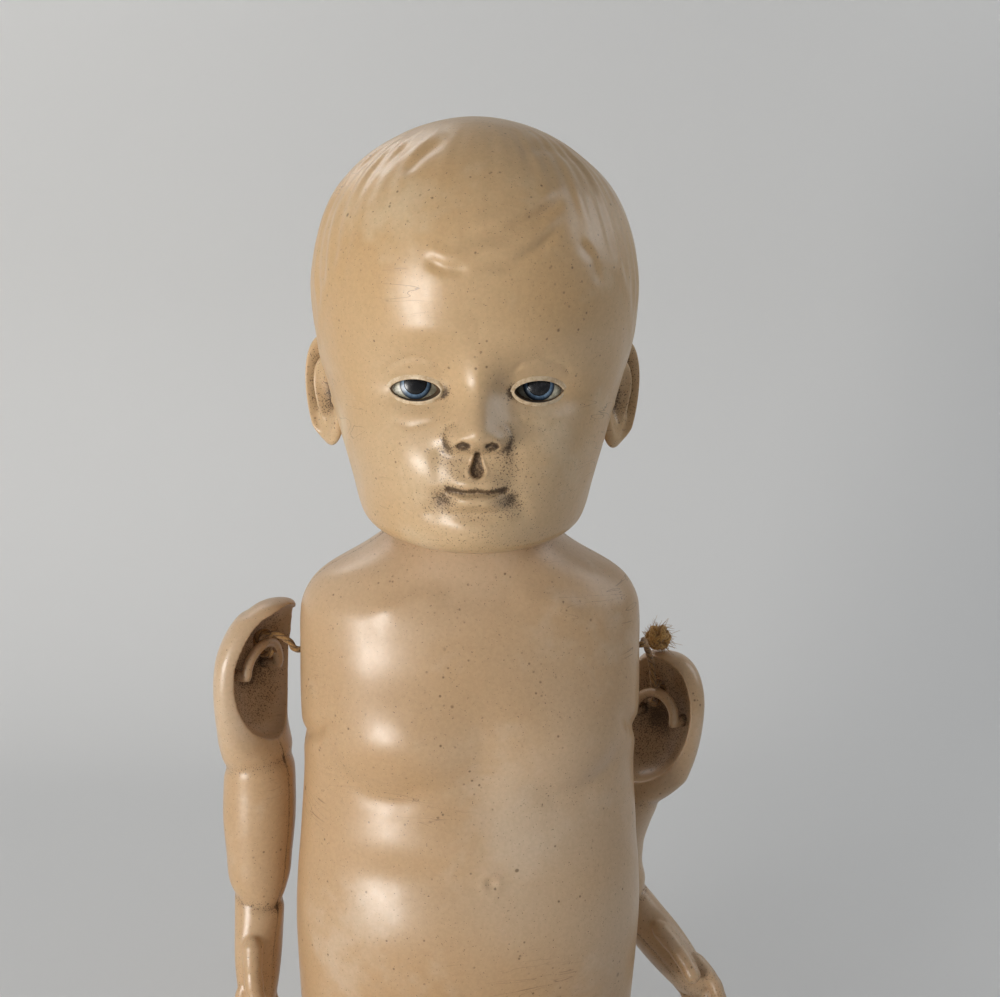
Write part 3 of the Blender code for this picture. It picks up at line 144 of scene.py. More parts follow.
def meshPiece(name, vertices, faces, marks=None):
    # an object of the scene from places in mm and faces, with its marks
    mesh = bpy.data.meshes.new(name)
    mesh.from_pydata((vertices * 0.001).tolist(), [], faces)
    mesh.shade_smooth()
    for word, values in (marks or {}).items():
        writeMark(mesh, word, values)
    thing = bpy.data.objects.new(name, mesh)
    bpy.context.scene.collection.objects.link(thing)
    return thing


def gridPiece(name, points, marks=None):
    # a closed surface from rings of points; a first or last ring that has shrunk to a point becomes one vertex
    poles = [np.ptp(points[k], axis=0).max() < 1e-4 for k in (0, -1)]
    body = slice(int(poles[0]), len(points) - int(poles[1]))
    around = points.shape[1]
    index = np.arange(points[body].shape[0] * around).reshape(-1, around)
    quads = quadGrid(index)
    faces, ends = quads.tolist(), []
    for k, first, second in ((0, np.roll(index[0], -1), index[0]), (-1, index[-1], np.roll(index[-1], -1))):
        if poles[k]:
            pole = np.full(around, index.size + len(ends))
            ends.append(points[k].mean(axis=0))
            faces += np.stack([pole, first, second], axis=1).tolist()
    vertices = np.concatenate([points[body].reshape(-1, 3), np.reshape(ends, (-1, 3))])
    if facesInward(vertices, quads):
        faces = [face[::-1] for face in faces]
    levels = {word: np.concatenate([values[body].ravel(), [values[k].mean() for k in (0, -1) if poles[k]]])
              for word, values in (marks or {}).items()}
    return meshPiece(name, vertices, faces, levels)


def writeMark(mesh, word, values):
    # a number for each vertex, which the materials read
    mark = mesh.attributes.get(word) or mesh.attributes.new(word, "FLOAT", "POINT")
    mark.data.foreach_set("value", np.clip(values, 0.0, 1.0).astype(np.float32))


def vertexPlaces(thing):
    # the piece's vertices in mm
    flat = np.zeros(len(thing.data.vertices) * 3, np.float32)
    thing.data.vertices.foreach_get("co", flat)
    return flat.reshape(-1, 3).astype(float) * 1000.0


def moveVertices(thing, places):
    # puts the vertices, given in mm, back into the mesh
    thing.data.vertices.foreach_set("co", (places * 0.001).astype(np.float32).ravel())
    thing.data.update()


def closeEnds(points):
    # adds a point at each end of a row of rings
    start = np.repeat(points[:1].mean(axis=1, keepdims=True), points.shape[1], axis=1)
    end = np.repeat(points[-1:].mean(axis=1, keepdims=True), points.shape[1], axis=1)
    return np.concatenate([start, points, end])


def tubeRings(path, radius, sides, lobes=0, lobeDepth=0.0, twist=0.0):
    # rings round a path, their two cross directions carried on without twist; the radius is r (1 - depth + depth c),
    # where c = |cos(lobes (angle + twist x length) / 2)| gives the plies of a cord
    tangents = np.gradient(path, axis=0)
    tangents /= np.linalg.norm(tangents, axis=1, keepdims=True)
    first = np.cross(tangents[0], (0.31, 0.17, 0.93))
    firsts = []
    for tangent in tangents:
        first = first - tangent * np.dot(first, tangent)
        first /= np.linalg.norm(first)
        firsts.append(first)
    firsts = np.array(firsts)
    seconds = np.cross(tangents, firsts)
    length = np.concatenate([[0.0], np.cumsum(np.linalg.norm(np.diff(path, axis=0), axis=1))])
    angles = circle(sides)[None, :]
    ply = np.abs(np.cos(0.5 * lobes * (angles + twist * length[:, None]))) if lobes else 1.0
    reach = np.asarray(radius)[..., None] * (1.0 - lobeDepth + lobeDepth * ply) * np.ones_like(angles)
    rings = (path[:, None, :] + (reach * np.cos(angles))[..., None] * firsts[:, None, :]
             + (reach * np.sin(angles))[..., None] * seconds[:, None, :])
    return rings, ply * np.ones_like(reach)


def tubePiece(name, path, radius, sides, lobes=0, lobeDepth=0.0, twist=0.0):
    # a closed tube of one radius, marked with how proud of the grooves between its plies each spot is
    rings, ply = tubeRings(path, np.full(len(path), radius), sides, lobes, lobeDepth, twist)
    marks = {"ply": np.concatenate([ply[:1], ply, ply[-1:]])} if lobes else None
    return gridPiece(name, closeEnds(rings), marks)


def densePath(knots, count):
    # a smooth path through a few points
    return splineRows(knots, np.linspace(0.0, len(knots) - 1.0, count))


def joined(name, parts):
    # several pieces as one mesh
    with bpy.context.temp_override(active_object=parts[0], selected_editable_objects=parts):
        bpy.ops.object.join()
    parts[0].name = name
    return parts[0]


def applied(thing):
    # the piece with its modifiers worked into the mesh
    view = bpy.context.evaluated_depsgraph_get()
    mesh = bpy.data.meshes.new_from_object(thing.evaluated_get(view), depsgraph=view)
    thing.modifiers.clear()
    thing.data = mesh
    mesh.shade_smooth()
    return thing


def fused(thing, voxel, rounds):
    # one skin over everything in the mesh, its joints eased by a few rounds of smoothing
    remesh = thing.modifiers.new("skin", "REMESH")
    remesh.mode = "VOXEL"
    remesh.voxel_size = voxel * 0.001
    ease = thing.modifiers.new("ease", "SMOOTH")
    ease.factor = 0.5
    ease.iterations = rounds
    return applied(thing)


def cut(thing, cutter, operation="DIFFERENCE"):
    # an exact Boolean, worked in at once
    modifier = thing.modifiers.new("cut", "BOOLEAN")
    modifier.operation = operation
    modifier.solver = "EXACT"
    modifier.object = cutter
    bpy.context.view_layer.update()
    applied(thing)
    bpy.data.objects.remove(cutter, do_unlink=True)
    return thing


def ballRings(centre, radii, around, rings):
    # an ellipsoid's rings from its lowest point up
    climb = np.linspace(-0.5 * math.pi, 0.5 * math.pi, rings)[:, None]
    angles = circle(around)[None, :]
    return np.stack([
        centre[0] + radii[0] * np.cos(climb) * np.sin(angles),
        centre[1] - radii[1] * np.cos(climb) * np.cos(angles),
        centre[2] + radii[2] * np.sin(climb) * np.ones_like(angles),
    ], axis=2)


def dress(thing, material, body, slotName, *nodes):
    # gives a piece its finish, its body, and the nodes it stands for
    thing.data.materials.clear()
    thing.data.materials.append(material)
    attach(thing, body)
    if nodes:
        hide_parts(*nodes)
    return thing


# finishes

def linear(shade):
    # a colour read off a screen, 0 to 255, as shaders use it: ((v / 255 + 0.055) / 1.055) ^ 2.4
    # one whose parts are all 1 or less is linear already
    if max(shade) > 1.0:
        shade = [((v / 255.0 + 0.055) / 1.055) ** 2.4 for v in shade]
    return (*shade, 1.0)


class Wires:
    # short ways to add and join shader nodes; the first colour lies at the bottom, each paint goes over what is there
    def __init__(self, name, ground):
        self.material = bpy.data.materials.new(name)
        self.material.use_nodes = True
        self.tree = self.material.node_tree
        self.shader = self.tree.nodes["Principled BSDF"]
        self.place = self.tree.nodes.new("ShaderNodeTexCoord").outputs["Object"]
        self.tint = linear(ground)
        self.join(self.tint, self.shader.inputs["Base Color"])

    def join(self, source, target):
        if hasattr(source, "is_output"):
            self.tree.links.new(source, target)
        else:
            target.default_value = source

    def node(self, kind, output, inputs, **settings):
        node = self.tree.nodes.new("ShaderNode" + kind)
        for word, value in settings.items():
            setattr(node, word, value)
        for key, value in inputs.items():
            self.join(value, node.inputs[key])
        return node.outputs[output]

    def noise(self, scale, detail=3.0, roughness=0.55, distortion=0.0, source=None):
        return self.node("TexNoise", "Fac", {"Vector": source or self.place, "Scale": scale, "Detail": detail,
                                             "Roughness": roughness, "Distortion": distortion})

    def cells(self, scale):
        return self.node("TexVoronoi", "Distance", {"Vector": self.place, "Scale": scale})

    def mapped(self, scale=(1.0, 1.0, 1.0), turn=(0.0, 0.0, 0.0), shift=(0.0, 0.0, 0.0)):
        return self.node("Mapping", "Vector", {"Vector": self.place, "Scale": scale, "Location": shift,
                                               "Rotation": [math.radians(t) for t in turn]})

    def mark(self, word):
        return self.node("Attribute", "Fac", {}, attribute_name=word)

    def maths(self, operation, first, second=0.5):
        return self.node("Math", 0, {0: first, 1: second}, operation=operation)

    def times(self, first, second):
        return self.maths("MULTIPLY", first, second)

    def ranged(self, value, low, high, newLow=0.0, newHigh=1.0):
        return self.node("MapRange", "Result", {"Value": value, "From Min": low, "From Max": high,
                                                "To Min": newLow, "To Max": newHigh}, interpolation_type="SMOOTHSTEP")

    def paint(self, share, shade):
        self.tint = self.node("Mix", 2, {"Factor": share, 6: self.tint, 7: linear(shade)}, data_type="RGBA")
        self.join(self.tint, self.shader.inputs["Base Color"])

    def bump(self, height, strength, distance):
        height = self.node("Bump", "Normal", {"Strength": strength, "Distance": distance, "Height": height})
        self.join(height, self.shader.inputs["Normal"])

    def put(self, **values):
        for word, value in values.items():
            self.join(value, self.shader.inputs[word.replace("_", " ")])


# the grime colour also paints shade into the hollows and folds that the meshes mark; the dirt share sets how dark that
# goes
shellLook = {
    "grimeAndShade": (66, 47, 28), "speck": (92, 68, 42), "veil": (118, 88, 56),
    "roughness": 0.35, "speckShare": 0.7, "scratchShare": 0.5, "dirtAndShadeShare": 0.74, "fleckShare": 0.75,
}


def shellFinish(name, base, warm, pale, shift):
    # old moulded shell: blotches of warm and pale, brown specks, hairline scratches, grime and painted shade in the
    # hollows
    w = Wires(name, base)
    scratchPlace = w.mapped((0.35, 0.35, 2.6), (20.0, 35.0, 50.0))
    w.place = w.mapped(shift=shift)
    w.paint(w.ranged(w.noise(13.0, 2.0, 0.5), 0.35, 0.65), warm)
    w.paint(w.ranged(w.noise(34.0, 4.0, 0.6), 0.52, 0.74, 0.0, 0.55), pale)
    w.paint(w.ranged(w.noise(900.0, 2.0, 0.7), 0.3, 0.7, 0.1, 0.0), shellLook["speck"])
    # specks: the small hearts of a few cells, kept where a broader noise is high
    speck = w.times(w.ranged(w.cells(420.0), 0.2, 0.08), w.ranged(w.noise(120.0, 3.0, 0.7), 0.5, 0.62))
    large = w.times(w.ranged(w.cells(95.0), 0.075, 0.045), w.ranged(w.noise(60.0, 2.0, 0.5), 0.5, 0.56))
    speck = w.maths("MAXIMUM", speck, large)
    w.paint(w.times(speck, shellLook["speckShare"]), shellLook["speck"])
    # scratches: thin dark lines where a stretched, bent noise crosses its middle
    streak = w.noise(55.0, 3.0, 0.5, 1.2, scratchPlace)
    line = w.ranged(w.maths("ABSOLUTE", w.maths("SUBTRACT", streak, 0.5)), 0.006, 0.0015)
    where = w.ranged(w.noise(26.0, 2.0, 0.5), 0.56, 0.68)
    scratch = w.times(w.times(line, where), shellLook["scratchShare"])
    w.paint(scratch, shellLook["grimeAndShade"])
    # grime and painted shade: the mark on the mesh as a thin veil, and as dark dirt and shade broken up by a fine noise
    # at its edge
    mark = w.mark("grimeAndShade")
    edge = w.maths("ADD", w.times(w.noise(1900.0, 2.0, 0.7), 1.05), w.times(w.noise(150.0, 3.0, 0.6), 0.3))
    dirtAndShade = w.ranged(w.maths("SUBTRACT", w.times(mark, 1.55), w.times(edge, 0.95)), -0.05, 0.55)
    w.paint(w.times(w.ranged(mark, 0.05, 0.9), 0.42), shellLook["veil"])
    w.paint(w.times(dirtAndShade, shellLook["dirtAndShadeShare"]), shellLook["grimeAndShade"])
    # flecks: fine dots of dirt, few on clean skin and many where the mark is
    flecks = w.ranged(w.maths("ADD", w.noise(2300.0, 1.0, 0.5), w.times(mark, 0.34)), 0.7, 0.77)
    w.paint(w.times(flecks, shellLook["fleckShare"]), shellLook["grimeAndShade"])
    plain = shellLook["roughness"]
    rough = w.ranged(w.noise(70.0, 4.0, 0.6), 0.3, 0.7, plain - 0.05, plain + 0.09)
    height = w.maths("ADD", w.noise(240.0, 3.0, 0.5), w.times(speck, -0.6))
    w.bump(w.maths("SUBTRACT", height, w.times(scratch, 1.5)), 0.1, 0.0006)
    w.put(Roughness=w.maths("ADD", rough, w.times(dirtAndShade, 0.35)), IOR=1.5, Coat_Weight=0.1, Coat_Roughness=0.25,
          Subsurface_Weight=0.06, Subsurface_Scale=0.002)
    return w.material


def lidFinish():
    # the pale worn edge of the lids, painted near black as shade where the mark says it turns in behind the skin
    w = Wires("lid_edge_worn", (214, 194, 163))
    w.paint(w.ranged(w.noise(500.0, 3.0, 0.7), 0.35, 0.65), (186, 158, 122))
    w.paint(w.times(w.mark("grimeAndShade"), 0.9), (34, 26, 18))
    w.put(Roughness=0.42)
    w.bump(w.noise(900.0), 0.15, 0.0003)
    return w.material


def eyeWhiteFinish():
    # greyed glass white, darkened towards the lids by painted shade and dirt, and specked with dirt there
    w = Wires("eye_white_greyed", (158, 152, 130))
    w.paint(w.ranged(w.noise(420.0, 4.0, 0.7), 0.4, 0.66), (196, 192, 176))
    rim = w.mark("grimeAndShade")
    # painted shade of the lids on the white, with dirt
    w.paint(w.times(rim, 0.75), (74, 62, 44))
    spots = w.ranged(w.noise(1500.0, 3.0, 0.8), 0.48, 0.6)
    w.paint(w.times(spots, w.ranged(rim, 0.1, 0.6, 0.25, 0.95)), (40, 32, 22))
    w.put(Roughness=0.32, Coat_Weight=0.15, Coat_Roughness=0.1)
    return w.material


def irisFinish():
    # steel blue with radial streaks, a dark outer ring and a deeper blue towards the pupil
    w = Wires("iris_steel_blue", (70, 96, 124))
    reach = w.mark("reach")
    polar = w.node("CombineXYZ", 0, {0: w.times(w.mark("turn"), 46.0), 1: w.times(reach, 1.3)})
    w.paint(w.ranged(w.noise(1.6, 4.0, 0.7, source=polar), 0.32, 0.68), (128, 156, 182))
    w.paint(w.ranged(reach, 0.72, 0.99), (30, 40, 52))
    w.paint(w.ranged(reach, 0.78, 0.66, 0.0, 0.35), (52, 74, 100))
    w.put(Roughness=0.3, Coat_Weight=0.15, Coat_Roughness=0.1)
    return w.material


def pupilFinish():
    # near black glass with a faint clouding
    w = Wires("pupil_black_glass", (0.004, 0.004, 0.005))
    w.paint(w.ranged(w.noise(700.0, 2.0, 0.6), 0.45, 0.7), (0.02, 0.02, 0.022))
    w.put(Roughness=0.26, Coat_Weight=0.2, Coat_Roughness=0.08)
    return w.material


def twineFinish(name, light, dark):
    # hemp: a fine noise of light and dark fibres, with painted shade between the plies
    w = Wires(name, dark)
    hairs = w.noise(2600.0, 3.0, 0.8)
    w.paint(w.ranged(hairs, 0.3, 0.7), light)
    w.paint(w.ranged(w.noise(420.0, 3.0, 0.6), 0.5, 0.75, 0.0, 0.5), (58, 38, 18))
    # painted shade in the grooves between the plies
    w.paint(w.ranged(w.mark("ply"), 0.55, 0.0, 0.0, 0.8), (46, 30, 14))
    w.put(Roughness=0.88, Sheen_Weight=0.25, Sheen_Roughness=0.5)
    w.bump(hairs, 0.5, 0.0002)
    return w.material


def elasticFinish():
    # woven cover of an old elastic: fine braid and yellowing
    w = Wires("elastic_woven", (214, 204, 180))
    braid = w.node("TexWave", "Fac", {"Vector": w.mapped(turn=(0.0, 35.0, 45.0)), "Scale": 320.0})
    w.paint(w.ranged(w.noise(160.0), 0.3, 0.7), (182, 164, 128))
    w.paint(w.times(braid, 0.35), (120, 104, 78))
    w.put(Roughness=0.8)
    w.bump(braid, 0.6, 0.0002)
    return w.material


def wireFinish():
    # drawn steel wire with brown rust in patches
    w = Wires("steel_wire_dull", (0.36, 0.35, 0.33))
    rust = w.ranged(w.noise(240.0, 4.0, 0.7), 0.52, 0.66)
    w.paint(rust, (0.14, 0.06, 0.03))
    w.put(Metallic=w.maths("SUBTRACT", 1.0, w.times(rust, 0.85)), Roughness=w.ranged(rust, 0.0, 1.0, 0.34, 0.8))
    w.bump(w.noise(700.0, 3.0, 0.7), 0.25, 0.0002)
    return w.material


def woodFinish():
    # turned beech: long grain along the dowel
    w = Wires("dowel_beech", (196, 160, 112))
    grain = w.noise(60.0, 4.0, 0.6, 0.6, w.mapped((1.0, 12.0, 12.0)))
    w.paint(w.ranged(grain, 0.35, 0.65), (150, 112, 68))
    w.put(Roughness=0.6)
    w.bump(grain, 0.3, 0.0003)
    return w.material


headFinish = shellFinish("head_shell_aged", (203, 173, 134), (196, 160, 114), (214, 193, 160), (0.0, 0.0, 0.0))
bodyFinish = shellFinish("body_shell_aged", (199, 172, 141), (192, 158, 119), (211, 190, 165), (0.3, 0.1, 0.2))
lidEdge, eyeWhite, irisBlue, pupilBlack = lidFinish(), eyeWhiteFinish(), irisFinish(), pupilFinish()
twineBrown = twineFinish("twine_brown", (168, 128, 74), (112, 78, 40))
twineFrayed = twineFinish("twine_frayed", (206, 164, 96), (158, 114, 58))
elasticWoven, wireDull, dowelBeech = elasticFinish(), wireFinish(), woodFinish()
print("finishes made")


# head

head = {
    "height": 114.1, "halfWidth": 45.0, "front": 48.0, "back": 52.0, "rimHeight": 16.0, "seam": 13.0,
    "turn": -3.5, "joint": (0.0, 2.0, 179.0), "around": 340, "rings": 262, "crowd": 0.56, "socketRadius": 27.7,
    "eyeOut": 15.6, "eyeHeight": 54.6, "eyeInset": 27.9, "eyeRadius": 9.5, "openingHalfWidth": 6.35,
    "openingUp": 2.85, "openingDown": 2.9, "irisRadius": 4.0, "pupilRadius": 2.9, "irisLift": 1.5,
    "hairDepth": 0.46, "jawTaper": 0.035, "strokeDepth": 1.0,
}
# rows from the neck rim up: height, half width, front, back, front drop, back rise, as shares of the head
headRows = [
    (0.039, 0.5, 0.43, 0.48, 0.0, 0.0), (0.041, 0.61, 0.66, 0.55, -0.033, 0.013),
    (0.061, 0.68, 0.8, 0.62, -0.042, 0.022), (0.096, 0.73, 0.86, 0.73, -0.039, 0.022),
    (0.145, 0.77, 0.885, 0.83, -0.026, 0.018), (0.206, 0.81, 0.895, 0.91, -0.018, 0.009),
    (0.276, 0.85, 0.895, 0.96, -0.009, 0.0), (0.355, 0.9, 0.895, 0.99, 0.0, 0.0),
    (0.443, 0.955, 0.93, 1.0, 0.0, 0.0), (0.53, 0.99, 0.98, 1.0, 0.0, 0.0),
    (0.618, 1.0, 1.0, 0.985, 0.0, 0.0), (0.706, 0.965, 0.98, 0.95, 0.0, 0.0),
    (0.785, 0.9, 0.91, 0.885, 0.0, 0.0), (0.855, 0.79, 0.8, 0.79, 0.0, 0.0),
    (0.916, 0.62, 0.64, 0.645, 0.0, 0.0), (0.964, 0.415, 0.44, 0.445, 0.0, 0.0),
    (0.991, 0.205, 0.22, 0.23, 0.0, 0.0), (1.0, 0.0, 0.02, -0.02, 0.0, 0.0),
]
# strokes of the moulded hair, as points (across, up) in mm
hairStrokes = [
    ([(-6.0, 89.5), (6.0, 93.2), (14.0, 97.3), (22.5, 103.0)], 1.5, 1.0),
    ([(-2.0, 84.0), (8.2, 85.9), (14.3, 89.7), (21.0, 96.0)], 1.3, 0.8),
    ([(-14.0, 87.0), (-8.5, 84.6), (-1.8, 84.0)], 1.2, 0.55),
    ([(-19.5, 107.0), (-15.0, 112.0), (-8.0, 117.0)], 1.3, 0.55),
    ([(-26.5, 107.5), (-22.0, 112.5), (-16.0, 116.5)], 1.2, 0.45),
    ([(10.0, 114.0), (18.0, 115.5), (26.0, 112.0)], 1.3, 0.4),
    ([(24.0, 92.0), (28.5, 88.0), (31.0, 80.0)], 1.2, 0.45),
    ([(-30.0, 98.0), (-33.0, 90.0), (-34.5, 78.0)], 1.2, 0.4),
]
# forms of the face: name, height, then across, up, half width, half height and power of the bell, in mm
faceForms = [
    ("ala", 1.6, 5.4, 43.0, 2.4, 2.7, 1.2), ("nose tip", 0.6, 0.0, 44.6, 4.4, 3.8, 1.0),
    ("eye hollow", -4.0, 15.6, 56.0, 11.0, 7.8, 1.0), ("inner corner", -1.0, 8.0, 56.5, 3.6, 5.0, 1.0),
    ("upper lid", 0.9, 15.8, 60.2, 8.0, 3.2, 1.0), ("brow", 1.2, 15.0, 68.5, 13.0, 5.5, 1.0),
    ("lower lid", 1.0, 16.5, 49.0, 8.0, 3.2, 1.0), ("cheek", 3.9, 21.0, 36.0, 13.5, 12.0, 1.0),
    ("muzzle", 2.8, 0.0, 31.5, 12.0, 8.5, 1.0), ("under the lip", -1.0, 0.0, 24.2, 8.0, 2.2, 1.0),
    ("chin", 2.6, 0.0, 18.6, 12.0, 6.0, 1.0), ("mouth corner", -0.7, 8.5, 28.6, 2.2, 3.0, 1.0),
]
# where dirt and painted shade sit on it, in the same columns
faceStainsAndShade = [
    ("mouth corner", 0.26, 8.5, 28.6, 2.2, 3.0, 1.0), ("below the corner", 0.26, 7.4, 27.0, 3.4, 3.4, 1.0),
    ("under the lip", 0.2, 0.0, 24.0, 9.0, 2.0, 1.0), ("beside the ala", 0.34, 7.9, 41.8, 1.8, 3.4, 1.0),
    ("upper lip", 0.26, 7.0, 36.5, 4.4, 4.5, 1.0), ("tear corner", 0.46, 8.2, 54.0, 1.5, 2.6, 1.0),
    ("under the nose", 0.24, 0.0, 40.2, 6.5, 1.2, 1.0), ("round the mouth", 0.14, 0.0, 33.0, 22.0, 14.0, 1.0),
]
# folds: name, depth, painted shade in the fold, half width, taper, points (across, up)
faceFolds = [
    ("lid", 0.35, 0.16, 0.8, 0.2, [(7.5, 58.5), (11.0, 62.0), (16.0, 63.2), (21.5, 61.2), (25.0, 57.5)]),
    ("eye bag", 0.25, 0.14, 0.9, 0.3, [(8.5, 50.5), (11.5, 47.0), (17.0, 45.4), (24.0, 47.5)]),
    ("nose to mouth", 0.3, 0.0, 2.0, 0.3, [(8.1, 43.0), (9.6, 38.5), (9.6, 34.0), (9.2, 31.0)]),
    ("cheek", 0.5, 0.16, 2.3, 0.3, [(8.6, 30.5), (10.2, 28.0), (11.6, 24.5), (12.0, 21.0)]),
]
# the nose's ridge and its half width, and the philtrum's half width: heights, then mm
noseRidge = ((38.0, 39.6, 41.2, 43.2, 45.4, 48.0, 52.0, 56.0, 60.0, 66.0, 73.0),
             (0.0, 1.2, 4.2, 6.8, 7.5, 6.5, 4.0, 2.2, 1.2, 0.4, 0.0))
noseWidth = (38.0, 43.0, 46.0, 50.0, 55.0, 62.0, 73.0), (5.6, 6.5, 6.2, 5.4, 5.4, 6.5, 8.0)
nostrilStroke = [(1.9, 40.9), (2.5, 42.0), (3.6, 42.4), (4.6, 41.9), (5.1, 40.7)]
philtrumWidth = (33.2, 33.9, 35.2, 37.0, 39.0, 40.2), (0.05, 1.15, 1.75, 1.3, 0.8, 0.5)
# the hairline: way round from straight ahead in radians, height in mm
hairline = (0.0, 0.5, 0.9, 1.25, 1.6, 2.1, 2.6, 3.15), (86.0, 88.0, 84.0, 68.0, 58.0, 50.0, 40.0, 36.0)


def headPlaced(points):
    # head-local places turned about the upright through the neck joint, and set on it
    angle = math.radians(head["turn"])
    x, y, z = np.moveaxis(points, -1, 0)
    turned = (x * math.cos(angle) - y * math.sin(angle), x * math.sin(angle) + y * math.cos(angle), z)
    return np.stack(turned, axis=-1) + head["joint"]


def faceRelief(x, z):
    # how far each spot of the face stands forward of the plain head, and the grime and painted shade it holds: ridge of
    # the nose plus the bells, less the folds, nostrils, creases of the wings, mouth line and philtrum
    a = np.abs(x)
    rise = curve(z, *noseRidge) * np.exp(-(a / curve(z, *noseWidth)) ** 2.1) + bells(a, z, faceForms)
    grimeAndShade = bells(a, z, faceStainsAndShade)
    for _, depth, stainAndShade, wide, taper, stroke in faceFolds:
        fold = groove(a, z, stroke, wide, taper)
        rise, grimeAndShade = rise - depth * fold, grimeAndShade + stainAndShade * fold
    wing = np.sqrt(((a - 5.2) / 2.9) ** 2 + ((z - 43.4) / 3.2) ** 2)
    crease = hump(wing, 1.1, 0.26) * smooth(4.2, 6.4, a) * smooth(39.5, 41.5, z)
    nostril = np.maximum(groove(a, z, nostrilStroke, 0.62, 0.2), 0.55 * blob(a, z, 3.5, 41.2, 1.5, 0.8, 1.3))
    # the mouth: a dark line between the upper lip and a fuller, flat topped lower one
    lipLine = 29.9 - 0.35 * hump(a, 3.2, 2.0) + 0.0048 * a * a
    mouthWide = smooth(8.3, 6.9, a)
    rise = rise + 1.5 * smooth(9.0, 2.0, a) * hump(z, 32.2, 2.3) - 1.0 * hump(z, lipLine, 0.7) * mouthWide
    rise = rise + 2.1 * np.exp(-(a / 6.0) ** 4) * np.exp(-np.abs((z - 27.3) / 2.0) ** 2.4)
    # philtrum: a sharp edged drop with a raised rim
    dropShare = a / curve(z, *philtrumWidth)
    inside = smooth(33.2, 33.9, z) * smooth(40.4, 39.6, z)
    drop = smooth(1.18, 0.82, dropShare) * inside
    rise = rise - 0.4 * crease - 1.3 * nostril - 1.2 * drop + 0.3 * hump(dropShare, 1.42, 0.3) * inside
    line = np.exp(-np.abs((z - lipLine - 0.5) / 0.9) ** 2.5) * mouthWide
    # the nostrils, the wings' creases, the philtrum's drop and the mouth line are darkened: part dirt, part painted
    # shade in the hollows
    return rise, grimeAndShade + 0.95 * nostril + 0.24 * crease + 0.52 * drop + 0.56 * line


def headSurface(rows, angles):
    # the head's rings: an oval each, tilted at the chin and the nape
    side, ahead = np.sin(angles), np.cos(angles)
    chin = head["rimHeight"] - headRows[0][0] * head["height"]
    halfWidth, front, back = rows[:, 1:2] * head["halfWidth"], rows[:, 2:3] * head["front"], rows[:, 3:4] * head["back"]
    tilt = rows[:, 4:5] * np.maximum(ahead, 0.0) ** 1.5 + rows[:, 5:6] * np.maximum(-ahead, 0.0) ** 1.5
    x = halfWidth * side
    y = 0.5 * (back - front) - 0.5 * (back + front) * ahead - head["joint"][1]
    z = chin + head["height"] * (rows[:, 0:1] + tilt)
    return x, y, z, ahead


def openingShare(x, z):
    # below 1 inside the eye openings: a lens wider than it is tall
    across = (np.abs(x) - head["eyeOut"]) / head["openingHalfWidth"]
    tall = np.where(z > head["eyeHeight"], head["openingUp"], head["openingDown"])
    return np.sqrt(across ** 2 + ((z - head["eyeHeight"]) / tall) ** 2 * (1.0 + 0.35 * across ** 2))


def hairRelief(x, y, z, facing):
    # moulded hair: two sets of waves that run down from the crown, above a hairline that dips at the temples and
    # the nape, with the single strokes cut in, each under a raised lip
    turn = np.arctan2(x, -(y + 2.0))
    line = curve(np.abs(turn), *hairline)
    hair = smooth(-1.0, 7.0, z - line) * smooth(125.0, 112.0, z)
    broad, fine = 2.6 * np.sin(0.07 * z + turn), 1.7 * np.sin(0.11 * z)
    locks = 0.5 * np.sin(27.0 * turn + broad) + 0.5 * np.sin(49.0 * turn - fine)
    patches = 0.35 + 0.65 * smooth(-0.2, 0.9, np.sin(3.0 * turn + 0.05 * z) + 0.6 * np.sin(0.16 * z + 5.0 * turn))
    sideways = 0.25 + 0.75 * smooth(0.35, 1.1, np.abs(turn))
    relief = head["hairDepth"] * locks * patches * hair * sideways
    stainAndShade = 0.0
    for stroke, wide, depth in hairStrokes:
        furrow = groove(x, z, stroke, wide, 0.3) * facing
        lip = groove(x, z - 2.4 * wide, stroke, 1.3 * wide, 0.3) * facing
        relief = relief - head["strokeDepth"] * depth * (furrow - 0.55 * lip)
        # the strokes' furrows darkened: dirt and painted shade in the grooves
        stainAndShade = stainAndShade + 0.1 * furrow * depth
    return relief + 0.3 * hump(z - line, 1.5, 3.0) * smooth(0.6, 1.0, np.abs(turn)), stainAndShade


